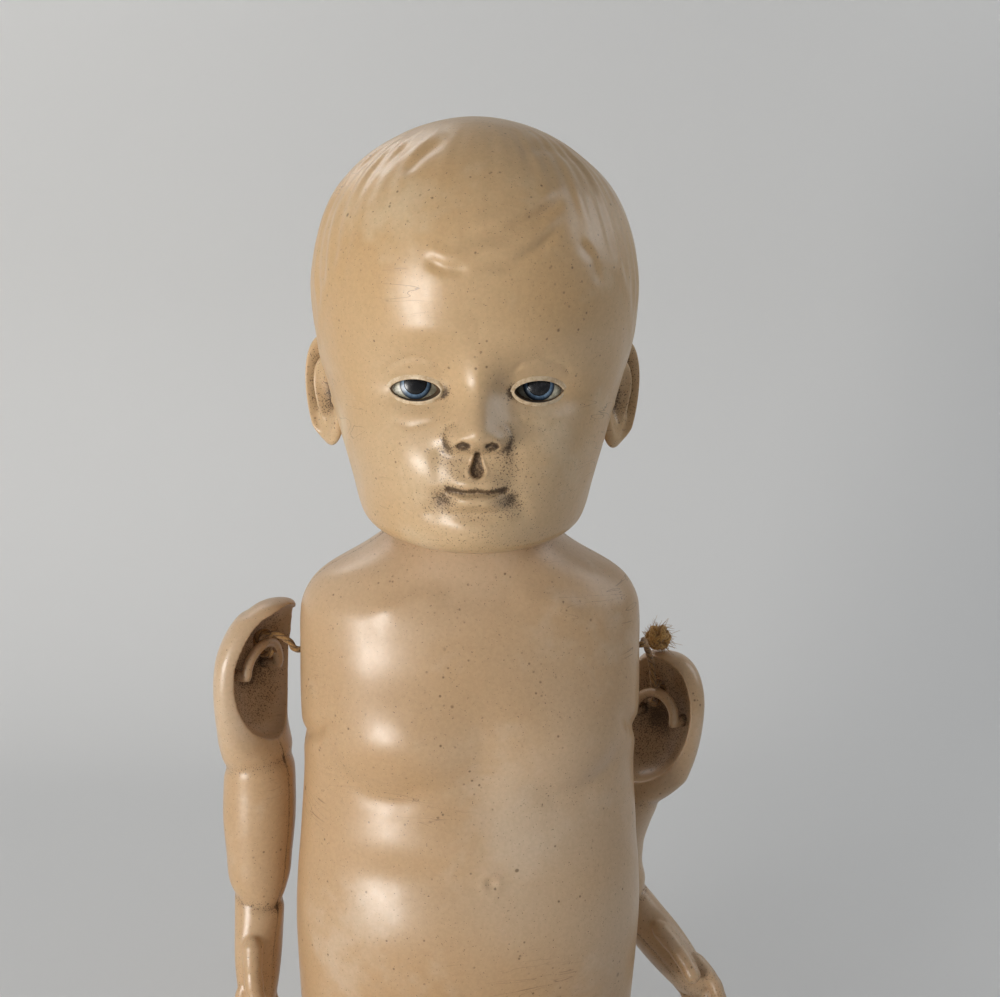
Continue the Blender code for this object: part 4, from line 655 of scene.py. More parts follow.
def buildHead():
    # rings from inside the neck opening, over its rim, up the face to the crown
    density = lambda t: 1.0 + 1.9 * hump(t, 0.34, 0.17) + 0.9 * hump(t, 0.2, 0.07)
    rows = splineRows(headRows, evenPlaces(density, head["rings"]) * (len(headRows) - 1))
    base = circle(head["around"])
    angles = (base - head["crowd"] * np.sin(base))[None, :]
    x, y, z, ahead = headSurface(rows, angles)
    x = x * (1.0 - head["jawTaper"] * hump(z, 27.0, 13.0))
    facing = np.clip(ahead * 2.0, 0.0, 1.0)
    rise, grimeAndShade = faceRelief(x, z)
    y = y - rise * facing
    relief, stainAndShade = hairRelief(x, y, z, facing)
    scale = 1.0 + relief / head["front"]
    x, y = x * scale, y * scale
    z = z + relief * smooth(80.0, 125.0, z)
    # the seam between the front and back shells
    behind = y + head["joint"][1]
    seam = hump(behind, head["seam"], 0.45)
    x = x * (1.0 - 0.007 * seam)
    grimeAndShade = grimeAndShade * facing + stainAndShade + 0.4 * seam + 0.12 * hump(behind, head["seam"], 2.0)
    # eye openings: the skin goes back into a pocket behind the eye
    share = openingShare(x, z)
    away = np.minimum((np.abs(x) - head["eyeOut"]) ** 2 + (z - head["eyeHeight"]) ** 2, 88.0)
    pocket = -head["eyeInset"] - np.sqrt(np.maximum((head["eyeRadius"] - 0.5) ** 2 - away, 1.0))
    y = y + (pocket - y) * smooth(1.06, 0.8, share) * facing
    # the pocket behind each opening painted near black as shade, and a ring of dirt and painted shade just round the
    # opening
    grimeAndShade = np.maximum(grimeAndShade, 0.9 * smooth(1.15, 0.95, share) * facing)
    grimeAndShade = grimeAndShade + 0.3 * hump(share, 1.22, 0.16) * facing * smooth(18.0, 10.0, np.abs(x))
    # painted shade and dirt towards the neck rim
    grimeAndShade = grimeAndShade + 0.16 * hump(z, head["rimHeight"] - 2.0, 6.0)
    outer = np.stack([x, y, z], axis=2)
    # the neck's socket: a bowl about the neck ball, closed at the top
    radius = head["socketRadius"]
    climb = np.linspace(0.5 * math.pi, math.asin(head["rimHeight"] / radius), 22)[:, None]
    reach = radius * np.cos(climb)
    bowl = np.stack([reach * np.sin(angles), -reach * np.cos(angles), radius * np.sin(climb) + 0.0 * angles], axis=2)
    bowl[0] = bowl[0].mean(axis=0)
    # the inside of the socket evenly middling dark: painted shade and grime
    marks = {"grimeAndShade": np.concatenate([np.full(bowl.shape[:2], 0.5), grimeAndShade])}
    shell = gridPiece("head_shell_skin", headPlaced(np.concatenate([bowl, outer])), marks)
    dress(shell, headFinish, "head", "head_shell", "head_front", "head_back")
    return outer


headSkin = buildHead()
print("head made")


def skinDepth(x, z):
    # the face's forward edge at places across and up, from the nearest spots of the skin
    flat = headSkin.reshape(-1, 3)
    flat = flat[(flat[:, 1] < -25.0) & (openingShare(flat[:, 0], flat[:, 2]) > 1.06)]
    gap = (flat[None, :, 0] - np.ravel(x)[:, None]) ** 2 + (flat[None, :, 2] - np.ravel(z)[:, None]) ** 2
    weight = 1.0 / (gap + 0.05) ** 2
    return ((weight * flat[None, :, 1]).sum(axis=1) / weight.sum(axis=1)).reshape(np.shape(x))


# the lids' edge: mm round each opening, and its section as pairs (out across the skin, forward of it)
lid = {"upperWidth": 0.95, "lowerWidth": 0.6, "stand": 0.35, "behind": 0.55, "steps": 150, "rings": 45}
lidSection = [(1.75, -0.55), (1.45, -0.12), (1.1, 0.16), (0.75, 0.55), (0.4, 0.85), (0.1, 0.95),
              (-0.12, 0.8), (-0.2, 0.35), (-0.22, -0.6), (-0.24, -1.8), (-0.26, -3.6), (-0.26, -5.4)]


def buildLids():
    # a rounded edge carried round each eye opening, from the skin over and in to the eye, and back behind the skin
    t = circle(lid["steps"])
    up = np.sin(t) > 0.0
    tall = np.where(up, head["openingUp"], head["openingDown"])
    corner = np.abs(np.cos(t)) ** 6
    outX, outZ = np.cos(t) / head["openingHalfWidth"], np.sin(t) / tall
    length = np.hypot(outX, outZ)
    outX, outZ = outX / length, outZ / length
    width = np.where(up, lid["upperWidth"], lid["lowerWidth"]) * (1.0 - 0.3 * corner)
    for word, side in sides:
        x = side * head["eyeOut"] + head["openingHalfWidth"] * np.cos(t) * (1.0 + 0.02 * corner)
        z = head["eyeHeight"] + tall * np.sign(np.sin(t)) * np.abs(np.sin(t)) ** 1.12
        skin = skinDepth(x + 0.9 * outX, z + 0.9 * outZ)
        rings = []
        for out, ahead in densePath(lidSection, lid["rings"]):
            stand = (lid["stand"] if ahead > 0.0 else lid["behind"]) * ahead
            rings.append(np.stack([x + out * width * outX, skin - stand, z + out * width * outZ], axis=1))
        rings.append(rings[-1] + (0.0, 0.4, 0.0))
        rings.append(0.5 * (rings[0] + rings[-1]))
        inside = np.linspace(0.0, 1.0, len(rings) - 1)[:, None]
        # painted shade, near black, where the edge turns in behind the skin, and some at the outer corner where it
        # meets the skin
        outerCorner = smooth(0.0, -0.8, side * np.cos(t))[None, :]
        grimeAndShade = smooth(0.62, 0.74, inside) + 0.35 * smooth(0.16, 0.0, inside) * outerCorner
        index = np.arange(len(rings) * len(t)).reshape(len(rings), -1)
        vertices, quads = headPlaced(np.array(rings)).reshape(-1, 3), quadGrid(index, True)
        if facesInward(vertices, quads):
            quads = quads[:, ::-1]
        marks = {"grimeAndShade": np.concatenate([grimeAndShade, grimeAndShade[[-1]]]).ravel()}
        piece = meshPiece(word + "_eye_lids", vertices, quads.tolist(), marks)
        dress(piece, lidEdge, "head", "head_shell")


def capRings(centre, radius, reach, lift, steps, around, thickness):
    # a dome on the eye's front that bulges like a lens, closed behind by a shallow bowl: the depth at a share s of
    # the reach is the ball's, plus lift (1 - s^2) in front and less the thickness behind
    share = np.concatenate([np.linspace(0.0, 1.0, steps), np.linspace(0.97, 0.0, steps // 2)])[:, None]
    front = np.arange(len(share))[:, None] < steps
    turn = circle(around)[None, :]
    across = share * reach
    ball = np.sqrt(radius ** 2 - across ** 2)
    depth = np.where(front, ball + lift * (1.0 - share ** 2), ball - thickness)
    points = np.stack([
        centre[0] + across * np.cos(turn), centre[1] - depth + 0.0 * turn, centre[2] + across * np.sin(turn),
    ], axis=2)
    return points, {"reach": share * np.ones_like(turn), "turn": turn / (2.0 * math.pi) * np.ones_like(share)}


def gazing(points, centre):
    # turned about the line across the eye through its middle, so that its front end rises by the lift
    angle = math.asin(head["irisLift"] / head["eyeRadius"])
    x, y, z = np.moveaxis(points - centre, -1, 0)
    lifted = (x, y * math.cos(angle) + z * math.sin(angle), z * math.cos(angle) - y * math.sin(angle))
    return np.stack(lifted, axis=-1) + centre


# domes over the white: piece, finish, slot, node, ahead and up of the middle, radius past the eye's, reach's name,
# lift, steps, around, thickness
eyeDomes = [
    ("_iris_dome", irisBlue, "iris_blue", "_iris", (0.02, 0.0), 0.06, "irisRadius", 0.16, 26, 96, 0.3),
    ("_pupil_dome", pupilBlack, "pupil_black", "_pupil", (0.14, 0.1), 0.1, "pupilRadius", 0.12, 16, 72, 0.2),
]


def buildEyes():
    # the white, pushed out behind the outer corner of the lids, with the iris and the pupil one over the other
    for word, side in sides:
        centre = np.array((side * head["eyeOut"], -head["eyeInset"], head["eyeHeight"]))
        ball = ballRings(centre, (head["eyeRadius"],) * 3, 96, 60)
        x, y, z = np.moveaxis(ball, -1, 0)
        outward = smooth(1.5, 5.5, side * x - head["eyeOut"]) * (y < centre[1])
        # darker towards the lids: painted shade of the lids on the white, with dirt
        grimeAndShade = smooth(0.8, 1.02, np.hypot((x - centre[0]) / 1.9, z - centre[2]) / 3.1)
        ball[..., 1] += 3.4 * smooth(0.9, 1.35, openingShare(x, z)) * outward
        piece = gridPiece(word + "_eye_white", headPlaced(ball), {"grimeAndShade": grimeAndShade})
        dress(piece, eyeWhite, "head", "eye_glass", word + "_eyeball")
        for tail, finish, slotName, node, (ahead, up), past, reach, lift, steps, around, thickness in eyeDomes:
            radius = head["eyeRadius"] + past
            points, marks = capRings(centre + (0.0, -ahead, up), radius, head[reach], lift, steps, around, thickness)
            piece = gridPiece(word + tail, headPlaced(gazing(points, centre)), marks)
            dress(piece, finish, "head", slotName, word + node)


buildLids()
buildEyes()
print("eyes made")


ear = {"halfHeight": 16.0, "halfDepth": 8.7, "out": 40.8, "back": 4.8, "up": 51.4, "lean": 37.0, "steps": 60}


def buildEars():
    # an oval leaf: helix round the edge, groove inside it, deep bowl in the middle, plain lobe below
    behind = np.cos(np.linspace(0.0, 0.5 * math.pi, 26))[1:]
    share = np.concatenate([np.linspace(0.0, 1.0, ear["steps"]), behind])[:, None]
    front = np.arange(len(share))[:, None] < ear["steps"]
    t = circle(128)[None, :]
    up = np.sin(t)
    along = ear["halfDepth"] * share * np.cos(t) * (0.86 + 0.18 * smooth(-1.0, 0.6, up)) + 0.6 * share * up
    tall = ear["halfHeight"] * share * up
    rearOrTop = smooth(-0.75, 0.05, np.cos(t) + 0.9 * up)
    helix = hump(share, 0.87, 0.12) * (0.3 + 0.7 * rearOrTop)
    scapha = hump(share, 0.68, 0.09) * rearOrTop * smooth(-0.75, -0.3, up)
    antihelix = hump(share, 0.5, 0.11) * smooth(-0.8, 0.0, np.cos(t) + 0.5 * up)
    bowl = blob(along, tall, -0.6, -1.2, 3.4, 5.6, 1.3)
    tragus = blob(along, tall, -5.2, -2.2, 1.6, 2.2)
    dome = np.sqrt(np.maximum(1.0 - share ** 4, 0.0))
    facePlane = 1.7 * dome + 2.3 * helix - 1.7 * scapha + 1.1 * antihelix - 3.4 * bowl + 1.6 * tragus
    stand = np.where(front, facePlane, -3.0 * np.sqrt(np.maximum(1.0 - share ** 2, 0.0)))
    # painted shade in the ear's bowl and the groove round it, a little over all
    grimeAndShade = np.where(front, 0.75 * bowl + 0.55 * scapha + 0.1, 0.15)
    lean = math.radians(ear["lean"])
    x = ear["out"] + stand * math.cos(lean) + along * math.sin(lean)
    y = ear["back"] - stand * math.sin(lean) + along * math.cos(lean)
    z = ear["up"] + tall + 0.05 * along
    for word, side in sides:
        piece = gridPiece(word + "_ear_leaf", headPlaced(np.stack([side * x, y, z], axis=2)), {"grimeAndShade": grimeAndShade})
        dress(piece, headFinish, "head", "head_shell")


buildEars()
print("ears made")


# torso

torso = {
    "height": 206.0, "halfWidth": 50.5, "front": 38.0, "back": 37.5, "neckBall": 27.0, "neckBack": 2.0,
    "neckUp": 179.0, "around": 270, "rings": 236, "crowd": 0.18, "holeUp": 157.0, "holeRadius": 1.7,
    "neckHole": 6.0, "easeRounds": 70, "easeSpread": 24.0,
    "hipUp": 24.0, "hipReach": 21.3, "crotch": 12.5, "hipBall": 14.0, "thighRise": 12.0,
}
torsoRows = [
    (0.0, 0.56, 0.42, 0.72), (0.012, 0.68, 0.54, 0.82), (0.045, 0.82, 0.68, 0.92), (0.1, 0.92, 0.8, 0.99),
    (0.165, 0.965, 0.88, 1.0), (0.225, 0.975, 0.94, 0.97), (0.3, 0.99, 0.98, 0.93), (0.38, 1.0, 1.0, 0.89),
    (0.45, 0.99, 0.96, 0.86), (0.515, 0.97, 0.92, 0.85), (0.57, 0.955, 0.86, 0.85), (0.615, 0.95, 0.86, 0.86),
    (0.665, 0.96, 0.92, 0.87), (0.715, 0.968, 0.91, 0.88), (0.77, 0.97, 0.84, 0.88), (0.81, 0.968, 0.77, 0.85),
    (0.838, 0.95, 0.72, 0.8), (0.866, 0.885, 0.65, 0.75), (0.893, 0.76, 0.61, 0.72),
]
# forms of the front and of the back, with the same columns as the face's
chestForms = [
    ("breast", 2.5, 23.5, 135.0, 17.0, 13.0, 1.1), ("breastbone", -0.7, 0.0, 140.0, 8.0, 20.0, 1.0),
    ("upper chest", -1.0, 24.0, 158.0, 24.0, 10.0, 1.0), ("upper belly", 1.5, 0.0, 112.5, 32.0, 8.0, 1.2),
    ("waist", -1.0, 0.0, 101.5, 42.0, 5.4, 1.0), ("belly", 1.4, 0.0, 85.0, 36.0, 12.0, 1.3),
]
backForms = [("blade", 1.4, 20.0, 150.0, 12.0, 15.0, 1.0), ("buttock", 1.8, 17.0, 25.0, 16.0, 19.0, 1.0)]
breastFold = [(9.0, 130.5), (14.0, 126.0), (21.0, 123.2), (29.0, 123.6), (36.5, 127.5), (42.0, 136.0), (45.0, 146.0)]
bellyFold = [(-40.0, 66.0), (-20.0, 60.5), (0.0, 59.0), (20.0, 60.5), (40.0, 66.0)]
collarRidge = [(7.0, 178.0), (18.0, 176.5), (31.0, 172.0)]
armpitFold = [(-24.0, 147.0), (-15.0, 138.0), (-3.0, 133.0), (8.0, 134.0)]
navel = (3.0, 100.6)


def torsoRelief(x, y, z):
    # how far each spot stands out, and its grime and painted shade: bells, folds and navel on the front; blades, spine
    # and seat on the back; a fold under each armpit
    a = np.abs(x)
    front, back = smooth(4.0, -14.0, y), smooth(0.0, 14.0, y)
    fold = groove(a, z, breastFold, 3.6, 0.35)
    away = np.hypot(x - navel[0], z - navel[1])
    rise = bells(a, z, chestForms) - 0.8 * fold - 0.8 * groove(x, z, bellyFold, 3.0, 0.25)
    rise = rise + 0.7 * groove(a, z, collarRidge, 3.0, 0.3) + 0.34 * hump(away, 2.3, 0.75) - 0.42 * hump(away, 0.0, 1.3)
    rear = bells(a, z, backForms) - 1.3 * hump(x, 0.0, 4.5) * smooth(44.0, 66.0, z) * smooth(176.0, 150.0, z)
    rear = rear - 2.6 * hump(x, 0.0, 2.0) * smooth(46.0, 30.0, z) - 0.7 * hump(z, 66.0 + 0.004 * a * a, 3.0)
    flank = -1.4 * groove(y, z, armpitFold, 2.6, 0.35) * smooth(30.0, 40.0, a)
    # painted shade in the fold under the breasts, dirt and shade round the navel
    return rise * front + rear * back + flank, (0.1 * fold + 0.16 * hump(away, 1.4, 1.0)) * front


def torsoGrimeAndShade(x, y, z):
    # dirt along the seam; dirt and painted shade round the string holes; painted shade under the head, in the crotch
    # and round the hips
    _, grimeAndShade = torsoRelief(x, y, z)
    a = np.abs(x)
    grimeAndShade = grimeAndShade + (0.34 * hump(y, 0.0, 0.55) + 0.1 * hump(y, 0.0, 2.4)) * smooth(10.0, 20.0, a)
    grimeAndShade = grimeAndShade + 0.6 * hump(np.hypot(y, z - torso["holeUp"]), 0.0, 3.2) * smooth(30.0, 40.0, a)
    grimeAndShade = grimeAndShade + 0.22 * smooth(186.0, 192.0, z) + 0.12 * smooth(12.0, 0.0, z)
    hip = np.sqrt((a - torso["hipBall"]) ** 2 + y ** 2 + (z - torso["hipUp"]) ** 2)
    return grimeAndShade + 0.35 * smooth(24.0, 14.0, hip)


def torsoProfile():
    # height, half width, front and back of each ring, from the seat to the top of the neck ball; the shoulders are
    # eased into the neck by averaging each row with its neighbours near where they meet
    body = densePath(torsoRows, torso["rings"]) * (torso["height"], torso["halfWidth"], torso["front"], torso["back"])
    low = math.asin((body[-1, 0] + 2.0 - torso["neckUp"]) / torso["neckBall"])
    climb = np.linspace(low, 0.5 * math.pi, 40)
    ball, back = torso["neckBall"] * np.cos(climb), torso["neckBack"]
    neck = (torso["neckUp"] + torso["neckBall"] * np.sin(climb), ball, ball - back, ball + back)
    profile = np.concatenate([body, np.stack(neck, axis=1)])
    eased = profile.copy()
    for _ in range(torso["easeRounds"]):
        eased[1:-1] = 0.25 * eased[:-2] + 0.5 * eased[1:-1] + 0.25 * eased[2:]
    return profile + (eased - profile) * hump(np.arange(len(profile)), len(body), torso["easeSpread"])[:, None]


def buildTorso():
    # ovals from the seat to the shoulders, then the neck ball; the hip rooms and string holes are cut out
    high, halfWidth, front, back = (column[:, None] for column in torsoProfile().T)
    base = circle(torso["around"])
    angles = (base - torso["crowd"] * np.sin(base))[None, :]
    x = halfWidth * np.sin(angles)
    y = 0.5 * (back - front) - 0.5 * (back + front) * np.cos(angles)
    z = high + 0.0 * x
    rise, _ = torsoRelief(x, y, z)
    seam = hump(y, 0.0, 0.5) * smooth(10.0, 20.0, np.abs(x))
    rise = rise * smooth(188.0, 182.0, z) * smooth(-1.0, 6.0, z) - 0.3 * seam * smooth(0.0, 4.0, z)
    points = np.stack([x + rise * np.sin(angles), y - rise * np.cos(angles), z], axis=2)
    shell = gridPiece("torso_shell_skin", closeEnds(points))
    # each hip room is a prism across the doll: a quarter round behind, a sloping roof over the thigh ahead
    reach, slope, hipUp = torso["hipReach"], math.tan(math.radians(torso["thighRise"])), torso["hipUp"]
    arc = [(reach * math.cos(a), hipUp + reach * math.sin(a)) for a in np.linspace(0.0, 0.5 * math.pi, 24)]
    room = [(-58.0, -20.0), (reach, -20.0)] + arc + [(-58.0, hipUp + reach + 58.0 * slope)]
    tools = []
    for word, side in sides:
        rings = np.array([[(side * across, y, z) for y, z in room] for across in (torso["crotch"], 72.0)])
        tools.append(gridPiece("room", closeEnds(rings)))
        path = np.array([(side * across, 0.0, torso["holeUp"]) for across in (40.0, 60.0)])
        tools.append(tubePiece("hole", path, torso["holeRadius"], 28))
    path = np.array([(0.0, torso["neckBack"], up) for up in (190.0, 212.0)])
    tools.append(tubePiece("neck_hole", path, torso["neckHole"], 40))
    cut(shell, joined("cutter", tools))
    writeMark(shell.data, "grimeAndShade", torsoGrimeAndShade(*vertexPlaces(shell).T))
    dress(shell, bodyFinish, "torso", "body_shell", "torso_front", "torso_back")
    middle, radius = torso["hipBall"], torso["hipBall"] - 0.02
    for word, side in sides:
        rings = ballRings((side * middle, 0.0, hipUp), (radius,) * 3, 72, 44)
        # the hip balls: a little dark all over, more in a ring on the outer side, as painted shade and dirt
        away = np.hypot(rings[..., 1], rings[..., 2] - hipUp)
        grimeAndShade = 0.25 + 0.5 * hump(away, 2.5, 1.6) * (side * rings[..., 0] > middle)
        dress(gridPiece(word + "_hip_ball", rings, {"grimeAndShade": grimeAndShade}), bodyFinish, "torso", "body_shell")


buildTorso()
print("torso made")


# arms

arm = {
    "length": 125.0, "cupMiddle": 0.83, "depth": 12.5, "halfWidth": 15.5, "bend": 9.0,
    "dish": (9.8, 14.2, 19.5), "arch": 8.0, "archInset": 2.8, "archBar": 1.5, "voxel": 0.44,
    "out": {-1: 57.6, 1: 56.0}, "rear": {-1: 5.0, 1: 16.0}, "up": {-1: 149.0, 1: 128.5}, "turn": {-1: 30.0, 1: 40.0},
    "elbowStart": 0.45, "elbowLength": 20.0, "elbowBend": 42.0, "elbowAhead": 25.0, "elbowShift": (-11.0, 12.0),
    "fingerPlaces": (-0.46, -0.16, 0.14, 0.43), "fingerRadius": 2.55, "fingerLength": 15.0,
    "fingerFrom": 0.03, "fingerDepth": -0.42, "thumbFrom": 0.2, "thumbRadius": 2.9,
    # mm ahead and a share of the length up; mm ahead, across and up
    "fingerCurl": ((0.2, 0.75), (-0.5, 0.25), (-0.1, -0.12), (1.6, -0.38), (3.1, -0.54)),
    "thumbCurl": ((-0.5, 1.6, 3.0), (0.6, -0.2, -5.1), (2.2, -1.6, -11.9), (4.4, -2.1, -17.85)),
}
armRows = [
    (0.0, -0.36, 0.38, 0.0, 1.05), (0.01, -0.22, 0.52, 0.22, 1.04), (0.04, -0.1, 0.66, 0.44, 1.0),
    (0.11, -0.02, 0.76, 0.58, 0.9), (0.18, 0.06, 0.84, 0.6, 0.76), (0.255, 0.18, 0.92, 0.5, 0.6),
    (0.295, 0.2, 0.94, 0.48, 0.52), (0.37, 0.34, 1.06, 0.59, 0.38), (0.47, 0.46, 1.13, 0.66, 0.2),
    (0.56, 0.49, 1.12, 0.68, 0.06), (0.6, 0.46, 1.09, 0.7, 0.02), (0.635, 0.36, 1.1, 0.76, 0.0),
    (0.69, 0.14, 1.11, 0.88, 0.0), (0.76, 0.08, 1.12, 0.98, 0.0), (0.835, 0.08, 1.12, 1.0, 0.0),
    (0.905, 0.1, 1.09, 0.91, 0.0), (0.96, 0.1, 0.94, 0.68, 0.0), (0.99, 0.02, 0.68, 0.4, 0.0),
    (1.0, -0.28, 0.28, 0.0, 0.0),
]
# each arm's sway from the finger tips up: height share, mm outward, mm back
armSway = {
    -1: [(-0.2, 0.0, 0.0), (0.3, 0.0, 0.0), (0.5, 0.3, 0.0), (0.66, 0.3, 0.0), (0.835, 0.0, 0.0),
         (0.905, -1.2, 0.0), (0.96, -2.8, 0.0), (1.0, -5.0, 0.0), (1.2, -5.0, 0.0)],
    1: [(-0.2, -11.0, 12.0), (0.4, -11.0, 12.0), (0.45, -11.0, 12.0), (0.5, -10.5, 11.0), (0.6, -7.0, 6.0),
        (0.66, -3.5, 2.5), (0.7, -2.0, 1.0), (0.835, 0.0, 0.0), (0.905, 1.2, 0.0), (1.0, 3.0, 0.0),
        (1.2, 5.0, 0.0)],
}


def armPosed(points, side):
    # the cup's lean, and on the left the bent elbow: below it each spot goes round an axis across the way out
    points = np.array(points, dtype=float)
    rows = densePath(armSway[side], 80)
    height = arm["cupMiddle"] + (points[..., 2] - arm["up"][side]) / arm["length"]
    points[..., 0] += side * np.interp(height, rows[:, 0], rows[:, 1])
    points[..., 1] += np.interp(height, rows[:, 0], rows[:, 2])
    if side < 0:
        return points
    ahead = math.radians(arm["elbowAhead"])
    out, forward = math.cos(ahead), -math.sin(ahead)
    near = ((points[..., 0] - arm["out"][1] - arm["elbowShift"][0]) * out
            + (points[..., 1] - arm["rear"][1] - arm["elbowShift"][1]) * forward)
    start = arm["up"][1] + (arm["elbowStart"] - arm["cupMiddle"]) * arm["length"]
    radius = arm["elbowLength"] / math.radians(arm["elbowBend"])
    below = np.maximum(start - points[..., 2], 0.0)
    angle = np.minimum(below, arm["elbowLength"]) / radius
    beyond = np.maximum(below - arm["elbowLength"], 0.0)
    moved = radius - (radius - near) * np.cos(angle) + beyond * np.sin(angle)
    lowered = (radius - near) * np.sin(angle) + beyond * np.cos(angle)
    points[..., 0] += (moved - near) * out
    points[..., 1] += (moved - near) * forward
    points[..., 2] = np.where(below > 0.0, start - lowered, points[..., 2])
    return points


def armAxes(side):
    # the way the opening faces and the way across it, in the doll's frame
    turn = math.radians(arm["turn"][side])
    ahead = np.array((-side * math.cos(turn), -math.sin(turn)))
    return ahead, np.array((-ahead[1], ahead[0]))


def armPlaced(points, side):
    # from the arm's own frame (opening ahead on +X, thumb side ahead on -Y) to the doll's
    ahead, across = armAxes(side)
    x, y, z = points[..., 0], points[..., 1] * -side, points[..., 2]
    return np.stack([
        side * arm["out"][side] + x * ahead[0] + y * across[0],
        arm["rear"][side] + x * ahead[1] + y * across[1],
        arm["up"][side] + z,
    ], axis=-1)


def armLocal(places, side):
    # the way back
    ahead, across = armAxes(side)
    dx, dy = places[:, 0] - side * arm["out"][side], places[:, 1] - arm["rear"][side]
    return dx * ahead[0] + dy * ahead[1], (dx * across[0] + dy * across[1]) * -side, places[:, 2] - arm["up"][side]


def armRelief(x, z):
    # rolls of flesh less the folds at the elbow and the wrist; the folds are given back for their grime
    elbow, wrist = hump(z, -26.5 + 0.16 * x, 1.9), hump(z, -68.0 - 0.25 * x, 1.7)
    rolls = 0.6 * hump(z, -19.0, 6.0) + 0.5 * hump(z, -61.0, 5.0) + 0.4 * hump(z, -44.0, 12.0)
    return rolls - 0.65 * elbow - 0.55 * wrist, elbow, wrist


def fingerPiece(name, path, radius):
    # a finger: a round tube with a pad at its tip, a little waist at each joint
    t = np.linspace(0.0, 1.0, len(path))
    reach = radius * (1.0 - 0.1 * t) * np.sqrt(np.maximum(1.0 - smooth(0.8, 1.02, t) ** 2.2, 0.004))
    reach = reach * (1.0 - 0.07 * hump(t, 0.42, 0.05) - 0.06 * hump(t, 0.68, 0.05))
    reach = reach * np.sqrt(np.minimum(1.0, 0.15 + 6.0 * t))
    return gridPiece(name, closeEnds(tubeRings(path, reach, 20)[0]))


def handParts(side, bendX, bendY):
    # four fingers, the outer ones shorter and thinner, and the thumb, each along a curled path
    parts = []
    low = (arm["fingerFrom"] - arm["cupMiddle"]) * arm["length"]
    for place in arm["fingerPlaces"]:
        length = arm["fingerLength"] * (1.0 - 0.35 * place * place)
        x, y = arm["fingerDepth"] * arm["depth"] + bendX, place * arm["halfWidth"] + bendY
        path = densePath([(x + ahead, y, low + length * up) for ahead, up in arm["fingerCurl"]], 30)
        radius = arm["fingerRadius"] * (1.0 - 0.25 * place * place)
        parts.append(fingerPiece("finger", armPlaced(path, side), radius))
    x, y = -0.25 * arm["depth"] + bendX, -0.4 * arm["halfWidth"] + bendY
    low = (arm["thumbFrom"] - arm["cupMiddle"]) * arm["length"]
    path = densePath([(x + ahead, y + across, low + up) for ahead, across, up in arm["thumbCurl"]], 30)
    return parts + [fingerPiece("thumb", armPlaced(path, side), arm["thumbRadius"])]


def buildArm(word, side):
    # ovals down the arm, the opening's side pressed in to a dish; fingers and thumb fused on
    rows = splineRows(armRows, evenPlaces(lambda t: 1.0 + 0.8 * hump(t, 0.75, 0.2), 330) * (len(armRows) - 1))
    base = circle(190)
    angles = (base + 0.35 * np.cos(base))[None, :]
    turn = math.radians(arm["turn"][side])
    high, front, back, halfWidth, bend = (rows[:, [k]] for k in range(5))
    front, back, bend = front * arm["depth"], back * arm["depth"], bend * arm["bend"]
    z = (high - arm["cupMiddle"]) * arm["length"] + 0.0 * angles
    plainX = 0.5 * (front - back) + 0.5 * (front + back) * np.sin(angles)
    plainY = -halfWidth * arm["halfWidth"] * np.cos(angles)
    rise = armRelief(plainX, z)[0] * smooth(0.02, 0.1, high) * smooth(0.72, 0.62, high)
    rise = rise - 0.28 * hump(plainY, 0.0, 0.42) * smooth(0.05, 0.12, high)
    x = plainX + rise * np.sin(angles) + bend * math.sin(turn)
    y = plainY - rise * np.cos(angles) - bend * math.cos(turn)
    deep, wide, tall = arm["dish"]
    share = np.sqrt((y / wide) ** 2 + (z / tall) ** 2)
    dish = -deep * np.sqrt(np.clip(1.0 - share ** 2, 0.0, 1.0))
    x = np.where((share < 1.0) & (np.sin(angles) > 0.0) & (dish < x), dish, x)
    parts = [gridPiece("arm", armPlaced(closeEnds(np.stack([x, y, z], axis=2)), side))]
    parts += handParts(side, arm["bend"] * math.sin(turn), -arm["bend"] * math.cos(turn))
    shell = fused(joined(word + "_arm_shell", parts), arm["voxel"], 3)
    places = vertexPlaces(shell)
    x, y, z = armLocal(places, side)
    # grime and painted shade: dirt and painted shade in the folds, painted shade in the dish and round its hole, dirt
    # along the seam and between the fingers
    _, elbow, wrist = armRelief(x, z)
    share = np.sqrt((y / wide) ** 2 + (z / tall) ** 2)
    inDish = smooth(1.0, 0.8, share) * smooth(0.5, -1.5, x) * smooth(-deep - 1.2, -deep + 0.4, x)
    hole = hump(np.hypot(y - 1.5, z + 1.0), 0.0, 5.0) * inDish
    grimeAndShade = 0.3 * elbow + 0.42 * wrist + 0.42 * inDish + 0.45 * hole
    shift = arm["bend"] * np.clip(curve(z, (-104.0, -80.0, -50.0, -25.0, 0.0), (1.05, 0.8, 0.3, 0.0, 0.0)), 0.0, 1.1)
    middle = y + shift * math.cos(turn)
    below = smooth(-16.0, -22.0, z)
    grimeAndShade = grimeAndShade + 0.42 * hump(middle, 0.0, 0.5) * below * smooth(-92.0, -80.0, z)
    grimeAndShade = grimeAndShade + 0.1 * hump(middle, 0.0, 2.4) * below
    grimeAndShade = grimeAndShade + 0.28 * smooth(-76.0, -96.0, z) * (0.4 + 0.6 * hump(np.sin(1.35 * middle), 1.0, 0.8))
    writeMark(shell.data, "grimeAndShade", grimeAndShade)
    moveVertices(shell, armPosed(places, side))
    dress(shell, bodyFinish, word + "_arm", "body_shell", word + "_arm_front", word + "_arm_back")
    buildArch(word, side)


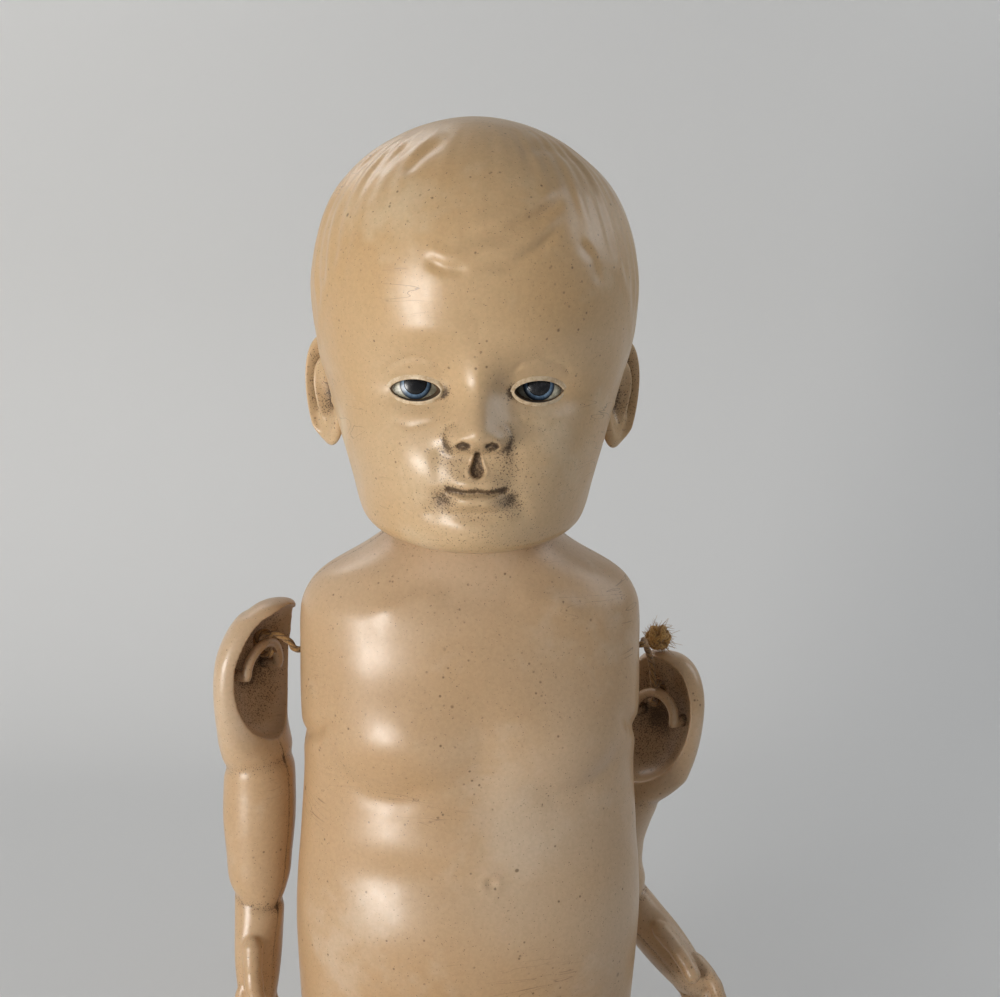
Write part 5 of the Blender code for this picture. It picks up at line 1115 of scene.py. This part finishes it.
def buildArch(word, side):
    # the moulded strip in the cup: half a ring of flattened section, its feet spread where they meet the dish
    deep, wide, _ = arm["dish"]
    inset, radius = arm["archInset"], arm["arch"]
    foot = deep * math.sqrt(1.0 - (radius / wide) ** 2) - 0.2
    t = np.linspace(0.0, math.pi, 60)
    ring = np.stack([np.full(60, -inset), radius * np.cos(t), radius * np.sin(t)], axis=1)
    legs = np.linspace(1.0, 0.1, 12)
    rightLeg = np.stack([-inset - legs * (foot - inset), np.full(12, radius), np.zeros(12)], axis=1)
    path = np.concatenate([rightLeg, ring, rightLeg[::-1] * (1.0, -1.0, 1.0)])
    s = np.linspace(-1.0, 1.0, len(path))
    reach = arm["archBar"] * (0.98 + 0.35 * smooth(0.86, 1.0, np.abs(s)) + 0.03 * np.sin(9.0 * s))
    rings, _ = tubeRings(path, reach, 28)
    # painted shade at the strip's feet, where it meets the dish
    grimeAndShade = (0.12 + 0.6 * smooth(0.7, 1.0, np.abs(s)))[:, None] * np.ones((1, 28))
    marks = {"grimeAndShade": np.concatenate([grimeAndShade[:1], grimeAndShade, grimeAndShade[-1:]])}
    piece = gridPiece(word + "_arm_strip", armPosed(armPlaced(closeEnds(rings), side), side), marks)
    dress(piece, bodyFinish, word + "_arm", "body_shell", word + "_arm_arch")


for word, side in sides:
    buildArm(word, side)
print("arms made")


# legs

leg = {
    "length": 106.0, "radius": 18.0, "hipOut": 31.5, "hipUp": 24.0, "back": 18.5, "kneeOut": 4.0, "kneeRise": 10.0,
    "footLong": 40.0, "footHalfWidth": 10.5, "footThick": 8.5, "voxel": 0.52, "seat": 14.6,
}
legRows = [
    (0.0, 0.0, 0.0, 0.0, 0.0), (0.01, 0.42, 0.42, 0.0, 0.0), (0.04, 0.72, 0.72, 0.0, 0.0),
    (0.09, 0.93, 0.93, 0.0, 0.0), (0.15, 1.0, 1.0, 0.0, 0.0), (0.23, 0.99, 1.0, 0.05, 0.02),
    (0.33, 0.97, 0.99, 0.25, 0.12), (0.44, 0.93, 0.96, 0.55, 0.45), (0.54, 0.86, 0.9, 0.85, 0.8),
    (0.63, 0.8, 0.84, 1.0, 0.9), (0.72, 0.78, 0.82, 0.95, 0.62), (0.81, 0.72, 0.76, 0.7, 0.2),
    (0.89, 0.6, 0.64, 0.42, -0.25), (0.95, 0.52, 0.54, 0.22, -0.55), (0.985, 0.44, 0.44, 0.12, -0.8),
    (1.0, 0.0, 0.0, 0.08, -0.95),
]
footRows = [
    (0.0, 0.0, 0.0, 0.1), (0.03, 0.42, 0.5, 0.08), (0.12, 0.66, 0.86, 0.02), (0.3, 0.74, 1.0, 0.0),
    (0.52, 0.86, 0.86, 0.06), (0.74, 1.0, 0.72, 0.14), (0.9, 0.94, 0.56, 0.16), (0.98, 0.6, 0.36, 0.14),
    (1.0, 0.0, 0.0, 0.12),
]
# toes from the big one: radius, mm out from the first, mm down from the first
toes = [(3.1, 0.0, 0.0), (2.35, 4.6, 0.2), (2.2, 8.1, 0.9), (2.05, 11.2, 2.0), (1.8, 14.0, 3.8)]


def footParts(mirror):
    # ovals from the heel to the toes with a hollow under the arch, and five toes
    rows = densePath(footRows, 150)
    angles = circle(120)[None, :]
    middle = leg["hipOut"] + 0.08 * leg["kneeOut"]
    soleward = np.clip(-np.sin(angles), 0.0, 1.0) * smooth(0.3, -0.6, np.cos(angles))
    hollow = 0.22 * hump(rows[:, 0:1], 0.48, 0.17) * soleward
    x = middle + rows[:, 1:2] * leg["footHalfWidth"] * np.cos(angles)
    y = -(leg["length"] - 0.25 * leg["footThick"]) - rows[:, 3:4] * leg["footLong"]
    y = y + rows[:, 2:3] * leg["footThick"] * np.sin(angles) * (1.0 - hollow)
    z = 0.6 + rows[:, 0:1] * leg["footLong"] + 0.0 * angles
    parts = [gridPiece("foot", np.stack([x, y, z], axis=2) * mirror)]
    y = -(leg["length"] + 3.1) - 0.04 * leg["footLong"]
    for radius, out, down in toes:
        x, z = middle - 7.2 + out, 38.2 - down
        knots = [(x, y + 1.0, z - 6.0), (x, y, z - 2.0), (x, y - 0.6, z + 0.6), (x, y - 1.4, z + 2.2)]
        parts.append(fingerPiece("toe", densePath(knots, 22) * mirror, radius))
    return parts


def buildLeg(word, side):
    # ovals from the hip to the ankle with folds at the knee, hollowed for the hip ball, fused with the foot
    mirror = np.array((side, 1.0, 1.0))
    rows = densePath(legRows, 260)
    angles = circle(170)[None, :]
    y = leg["back"] - rows[:, 0:1] * (leg["length"] + leg["back"]) + 0.0 * angles
    high = np.sin(angles)
    knee = hump(y, -52.0 - 3.0 * high, 1.6) * smooth(0.4, -0.5, high)
    thighFold = hump(y, -34.0 + 2.0 * high, 1.5) * smooth(-0.2, 0.5, np.cos(angles) + 0.2)
    dimple = hump(y, -58.0, 4.0) * smooth(0.6, 1.0, high)
    plump = 0.7 * hump(y, -44.0, 7.0) + 0.8 * hump(y, -74.0, 10.0)
    relief = plump - 1.3 * knee - 0.8 * thighFold - 1.2 * hump(y, -92.0, 1.4) - 0.8 * dimple
    reach = leg["radius"] + relief * smooth(0.2, 0.6, rows[:, 1:2])
    x = leg["hipOut"] + rows[:, 3:4] * leg["kneeOut"] + rows[:, 1:2] * reach * np.cos(angles)
    z = leg["hipUp"] + rows[:, 4:5] * leg["kneeRise"] + rows[:, 2:3] * reach * high
    inside = leg["seat"] ** 2 - y ** 2 - (z - leg["hipUp"]) ** 2
    seat = torso["hipBall"] + np.sqrt(np.maximum(inside, 0.0))
    x = np.where((inside > 0.0) & (x < seat), seat, x)
    parts = [gridPiece("leg", closeEnds(np.stack([x, y, z], axis=2)) * mirror)] + footParts(mirror)
    shell = fused(joined(word + "_leg_shell", parts), leg["voxel"], 3)
    x, y, z = vertexPlaces(shell).T
    a = np.abs(x)
    hip = np.sqrt((a - torso["hipBall"]) ** 2 + y ** 2 + (z - leg["hipUp"]) ** 2)
    # grime and painted shade: painted shade round the hip, dirt along the seam, dirt and painted shade in the folds,
    # darker low on the heel, dirt and painted shade between the toes
    grimeAndShade = 0.4 * smooth(17.5, leg["seat"], hip) + 0.2 * hump(a, leg["hipOut"] + 1.2, 0.5)
    grimeAndShade = grimeAndShade + 0.34 * hump(y, -52.0, 2.4) * smooth(20.0, 8.0, z) + 0.28 * hump(y, -92.0, 2.2)
    between = smooth(31.0, 34.5, z) * (y < -100.0) * hump(np.sin(0.9 * a), 0.0, 0.5)
    grimeAndShade = grimeAndShade + 0.16 * smooth(4.0, 0.0, z) + 0.3 * between
    writeMark(shell.data, "grimeAndShade", grimeAndShade)
    dress(shell, bodyFinish, word + "_leg", "body_shell", word + "_leg_inner", word + "_leg_outer")


for word, side in sides:
    buildLeg(word, side)
print("legs made")


# stringing

string = {"twine": 1.0, "elastic": 1.5, "plies": 3, "twist": 0.72, "plyDepth": 0.3, "braid": 8, "braidTwist": 0.5,
          "knot": 4.3, "knotPly": 0.95, "knotTwist": 1.1, "fibres": 420, "fibreSteps": 9, "fibreRadius": 0.13,
          "seed": 7}
# the knot's three loops: turns round the ring, turns through it, tilt and lean in radians
knotLoops = [(2, 3, 0.2, 0.4), (3, 2, 1.4, 1.0), (2, 5, 2.3, 0.2)]


def twinePiece(name, path, body, node):
    # a laid cord: lobed section that turns along its length
    cord = tubePiece(name, path, string["twine"], 30, string["plies"], string["plyDepth"], string["twist"])
    dress(cord, twineBrown, body, "twine", node)


def elasticPiece(name, first, last, count, node):
    # a straight elastic with a braided cover
    path = np.linspace(first, last, count)
    cord = tubePiece(name, path, string["elastic"], 30, string["braid"], string["plyDepth"], string["braidTwist"])
    dress(cord, elasticWoven, "torso", "elastic", node)


def buildTwine():
    # the twine through the shoulders, then on each side out through the hole and round the arm's strip
    radius, up = string["twine"], torso["holeUp"]
    reach = torso["halfWidth"] - 3.0 * radius
    behind = torso["neckBack"] + 2.0 * string["elastic"] + radius
    sag = 0.05 * reach
    half = [(reach, 0.0, up), (0.8 * reach, 0.0, up), (0.4 * reach, 0.7 * behind, up - sag)]
    knots = [(-x, y, z) for x, y, z in half] + [(0.0, behind, up - 1.5 * sag)] + half[::-1]
    twinePiece("shoulder_cord", densePath(knots, 300), "torso", "shoulder_twine")
    high = np.array((0.0, 0.0, 1.0))
    clear = arm["archBar"] + radius + 0.9
    for word, side in sides:
        turn = math.radians(arm["turn"][side])
        outward = np.array((side * math.cos(turn), math.sin(turn), 0.0))
        bar = np.array((side * arm["out"][side], arm["rear"][side], arm["up"][side] + arm["arch"]))
        bar = bar + arm["archInset"] * outward
        bar[0] = armPosed(bar[None], side)[0, 0]
        start = np.array((side * (reach + 0.9), 0.0, up))
        drop = 0.35 * (arm["up"][-1] - arm["up"][side])
        over = bar - clear * outward + high * (clear + drop)
        knots = [start, start + (side * 2.0 * radius, 0.0, 0.0), 0.5 * (start + over) + 0.5 * drop * high, over]
        for angle in np.radians(120.0 - 45.0 * np.arange(7)):
            knots.append(bar + clear * (math.cos(angle) * outward + math.sin(angle) * high))
        twinePiece(word + "_arm_cord", densePath(knots, 340), word + "_arm_string", word + "_arm_twine")


def buildKnot():
    # the frayed knot: plies looped over each other, and a cloud of fine fibres that stand out of it
    turn = math.radians(arm["turn"][1])
    size = string["knot"]
    centre = np.array((arm["out"][1], arm["rear"][1], arm["up"][1] + (1.0 - arm["cupMiddle"]) * arm["length"]))
    centre = centre + size * np.array((math.cos(turn), math.sin(turn), 1.0)) - (0.0, 0.0, 0.15)
    parts = []
    for rounds, through, tilt, lean in knotLoops:
        t = np.append(circle(150), 2.0 * math.pi * 0.999)
        r = size * (0.52 + 0.2 * np.cos(through * t))
        path = np.stack([r * np.cos(rounds * t), r * np.sin(rounds * t), size * 0.48 * np.sin(through * t)], axis=1)
        spin = np.array(Matrix.Rotation(tilt, 3, "X") @ Matrix.Rotation(lean, 3, "Y"))
        laid = (string["plies"], string["plyDepth"], string["knotTwist"])
        parts.append(tubePiece("ply", path @ spin.T + centre, string["knotPly"], 16, *laid))
    # each fibre: straight out, plus its sway times t squared, plus its curl times a sine
    dice = np.random.default_rng(string["seed"])
    first = dice.normal(size=(string["fibres"], 3))
    first /= np.linalg.norm(first, axis=1, keepdims=True)
    sway = dice.normal(size=first.shape) * 0.9
    curl = dice.normal(size=first.shape) * 0.5
    long = dice.uniform(0.3, 0.85, size=(string["fibres"], 1)) * size * 0.55
    t = np.linspace(0.0, 1.0, string["fibreSteps"])
    radius = string["fibreRadius"] * (1.0 - 0.75 * t)
    fibres = []
    for away, bent, wavy, reach in zip(first, sway, curl, long):
        path = centre + away * size * 0.55 + np.outer(t, away) * reach + np.outer(t ** 2, bent) * reach
        fibres.append(closeEnds(tubeRings(path + np.outer(np.sin(4.0 * t), wavy) * 0.6, radius, 4)[0]))
    fibres = np.array(fibres)
    quads = quadGrid(np.arange(fibres.size // 3).reshape(fibres.shape[:3]))
    parts.append(meshPiece("fibres", fibres.reshape(-1, 3), quads.tolist(), {"ply": np.ones(fibres.size // 3)}))
    knot = joined("left_knot_frayed", parts)
    dress(knot, twineFrayed, "left_arm_string", "twine", "left_twine_knot")


def buildInside():
    # the elastics, the wire hooks and the dowel that hold the head and the legs
    reach = torso["hipBall"] * 1.5
    elasticPiece("hip_elastic_cord", (-reach, 0.0, torso["hipUp"]), (reach, 0.0, torso["hipUp"]), 120, "hip_elastic")
    elasticPiece("neck_elastic_cord", (0.0, 0.0, 25.8), (0.0, 2.0, 178.4), 300, "neck_elastic")
    for node in ("neck_hook", "right_leg_hook", "left_leg_hook", "neck_dowel"):
        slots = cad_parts[node].data.materials
        slots.clear()
        slots.append(dowelBeech if node == "neck_dowel" else wireDull)


buildTwine()
buildKnot()
buildInside()
print("stringing made")


# studio

studio = {"floorColour": (0.72, 0.72, 0.71), "air": (0.8, 0.83, 0.88, 1.0), "airStrength": 0.26,
          "aim": (0.0, 0.0, 0.16), "cameraPlace": (-0.0305, -0.3628, 0.258), "lens": 46.8,
          "azimuth": -6.0, "pitch": -9.0, "roll": 0.85}
# name, place and size in m, watts, colour
lamps = [("key", (-0.79, -0.74, 0.15), 0.46, 10.0, (1.0, 0.97, 0.93)),
         ("fill", (0.95, 0.05, 0.7), 0.7, 2.6, (0.96, 0.98, 1.0)),
         ("rim", (-0.3, 0.52, 0.75), 0.5, 2.0, (1.0, 1.0, 1.0))]


def buildStudio():
    # a pale floor that curves up into a backdrop, three soft lamps and the photograph's camera
    bow = np.linspace(0.05, 1.0, 24) * 0.5 * math.pi
    across = np.linspace(-1400.0, 1400.0, 60)[:, None]
    deep = np.concatenate([np.linspace(-900.0, 300.0, 30), 300.0 + 260.0 * np.sin(bow), np.full(12, 560.0)])
    high = np.concatenate([np.zeros(30), 260.0 - 260.0 * np.cos(bow), np.linspace(320.0, 1500.0, 12)])
    points = np.stack(np.broadcast_arrays(across, deep, high), axis=2)
    index = np.arange(points.size // 3).reshape(points.shape[:2])
    quads = np.stack([index[:-1, :-1], index[1:, :-1], index[1:, 1:], index[:-1, 1:]], axis=2).reshape(-1, 4)
    sweep = meshPiece("studio_sweep", points.reshape(-1, 3), quads.tolist())
    w = Wires("sweep_paper", studio["floorColour"])
    w.put(Roughness=0.9)
    sweep.data.materials.append(w.material)
    scene = bpy.context.scene
    scene.world = bpy.data.worlds.new("studio_air")
    scene.world.use_nodes = True
    background = scene.world.node_tree.nodes["Background"].inputs
    background[0].default_value, background[1].default_value = studio["air"], studio["airStrength"]
    for name, place, size, power, colour in lamps:
        lamp = bpy.data.lights.new(name, "AREA")
        lamp.shape = "DISK"
        lamp.size, lamp.energy, lamp.color = size, power, colour
        thing = bpy.data.objects.new(name, lamp)
        thing.location = place
        thing.rotation_euler = (Vector(studio["aim"]) - Vector(place)).to_track_quat("-Z", "Y").to_euler()
        scene.collection.objects.link(thing)
    camera = bpy.data.objects.new("camera", bpy.data.cameras.new("camera"))
    camera.data.lens = studio["lens"]
    camera.data.clip_start, camera.data.clip_end = 0.01, 20.0
    azimuth, pitch = math.radians(studio["azimuth"]), math.radians(studio["pitch"])
    ahead = Vector((-math.sin(azimuth) * math.cos(pitch), math.cos(azimuth) * math.cos(pitch), math.sin(pitch)))
    turn = ahead.to_track_quat("-Z", "Y").to_matrix().to_4x4() @ Matrix.Rotation(math.radians(studio["roll"]), 4, "Z")
    camera.matrix_world = Matrix.Translation(studio["cameraPlace"]) @ turn
    scene.collection.objects.link(camera)
    scene.camera = camera
    scene.view_settings.view_transform = "Standard"


buildStudio()
print("studio made")

bpy.context.view_layer.update()
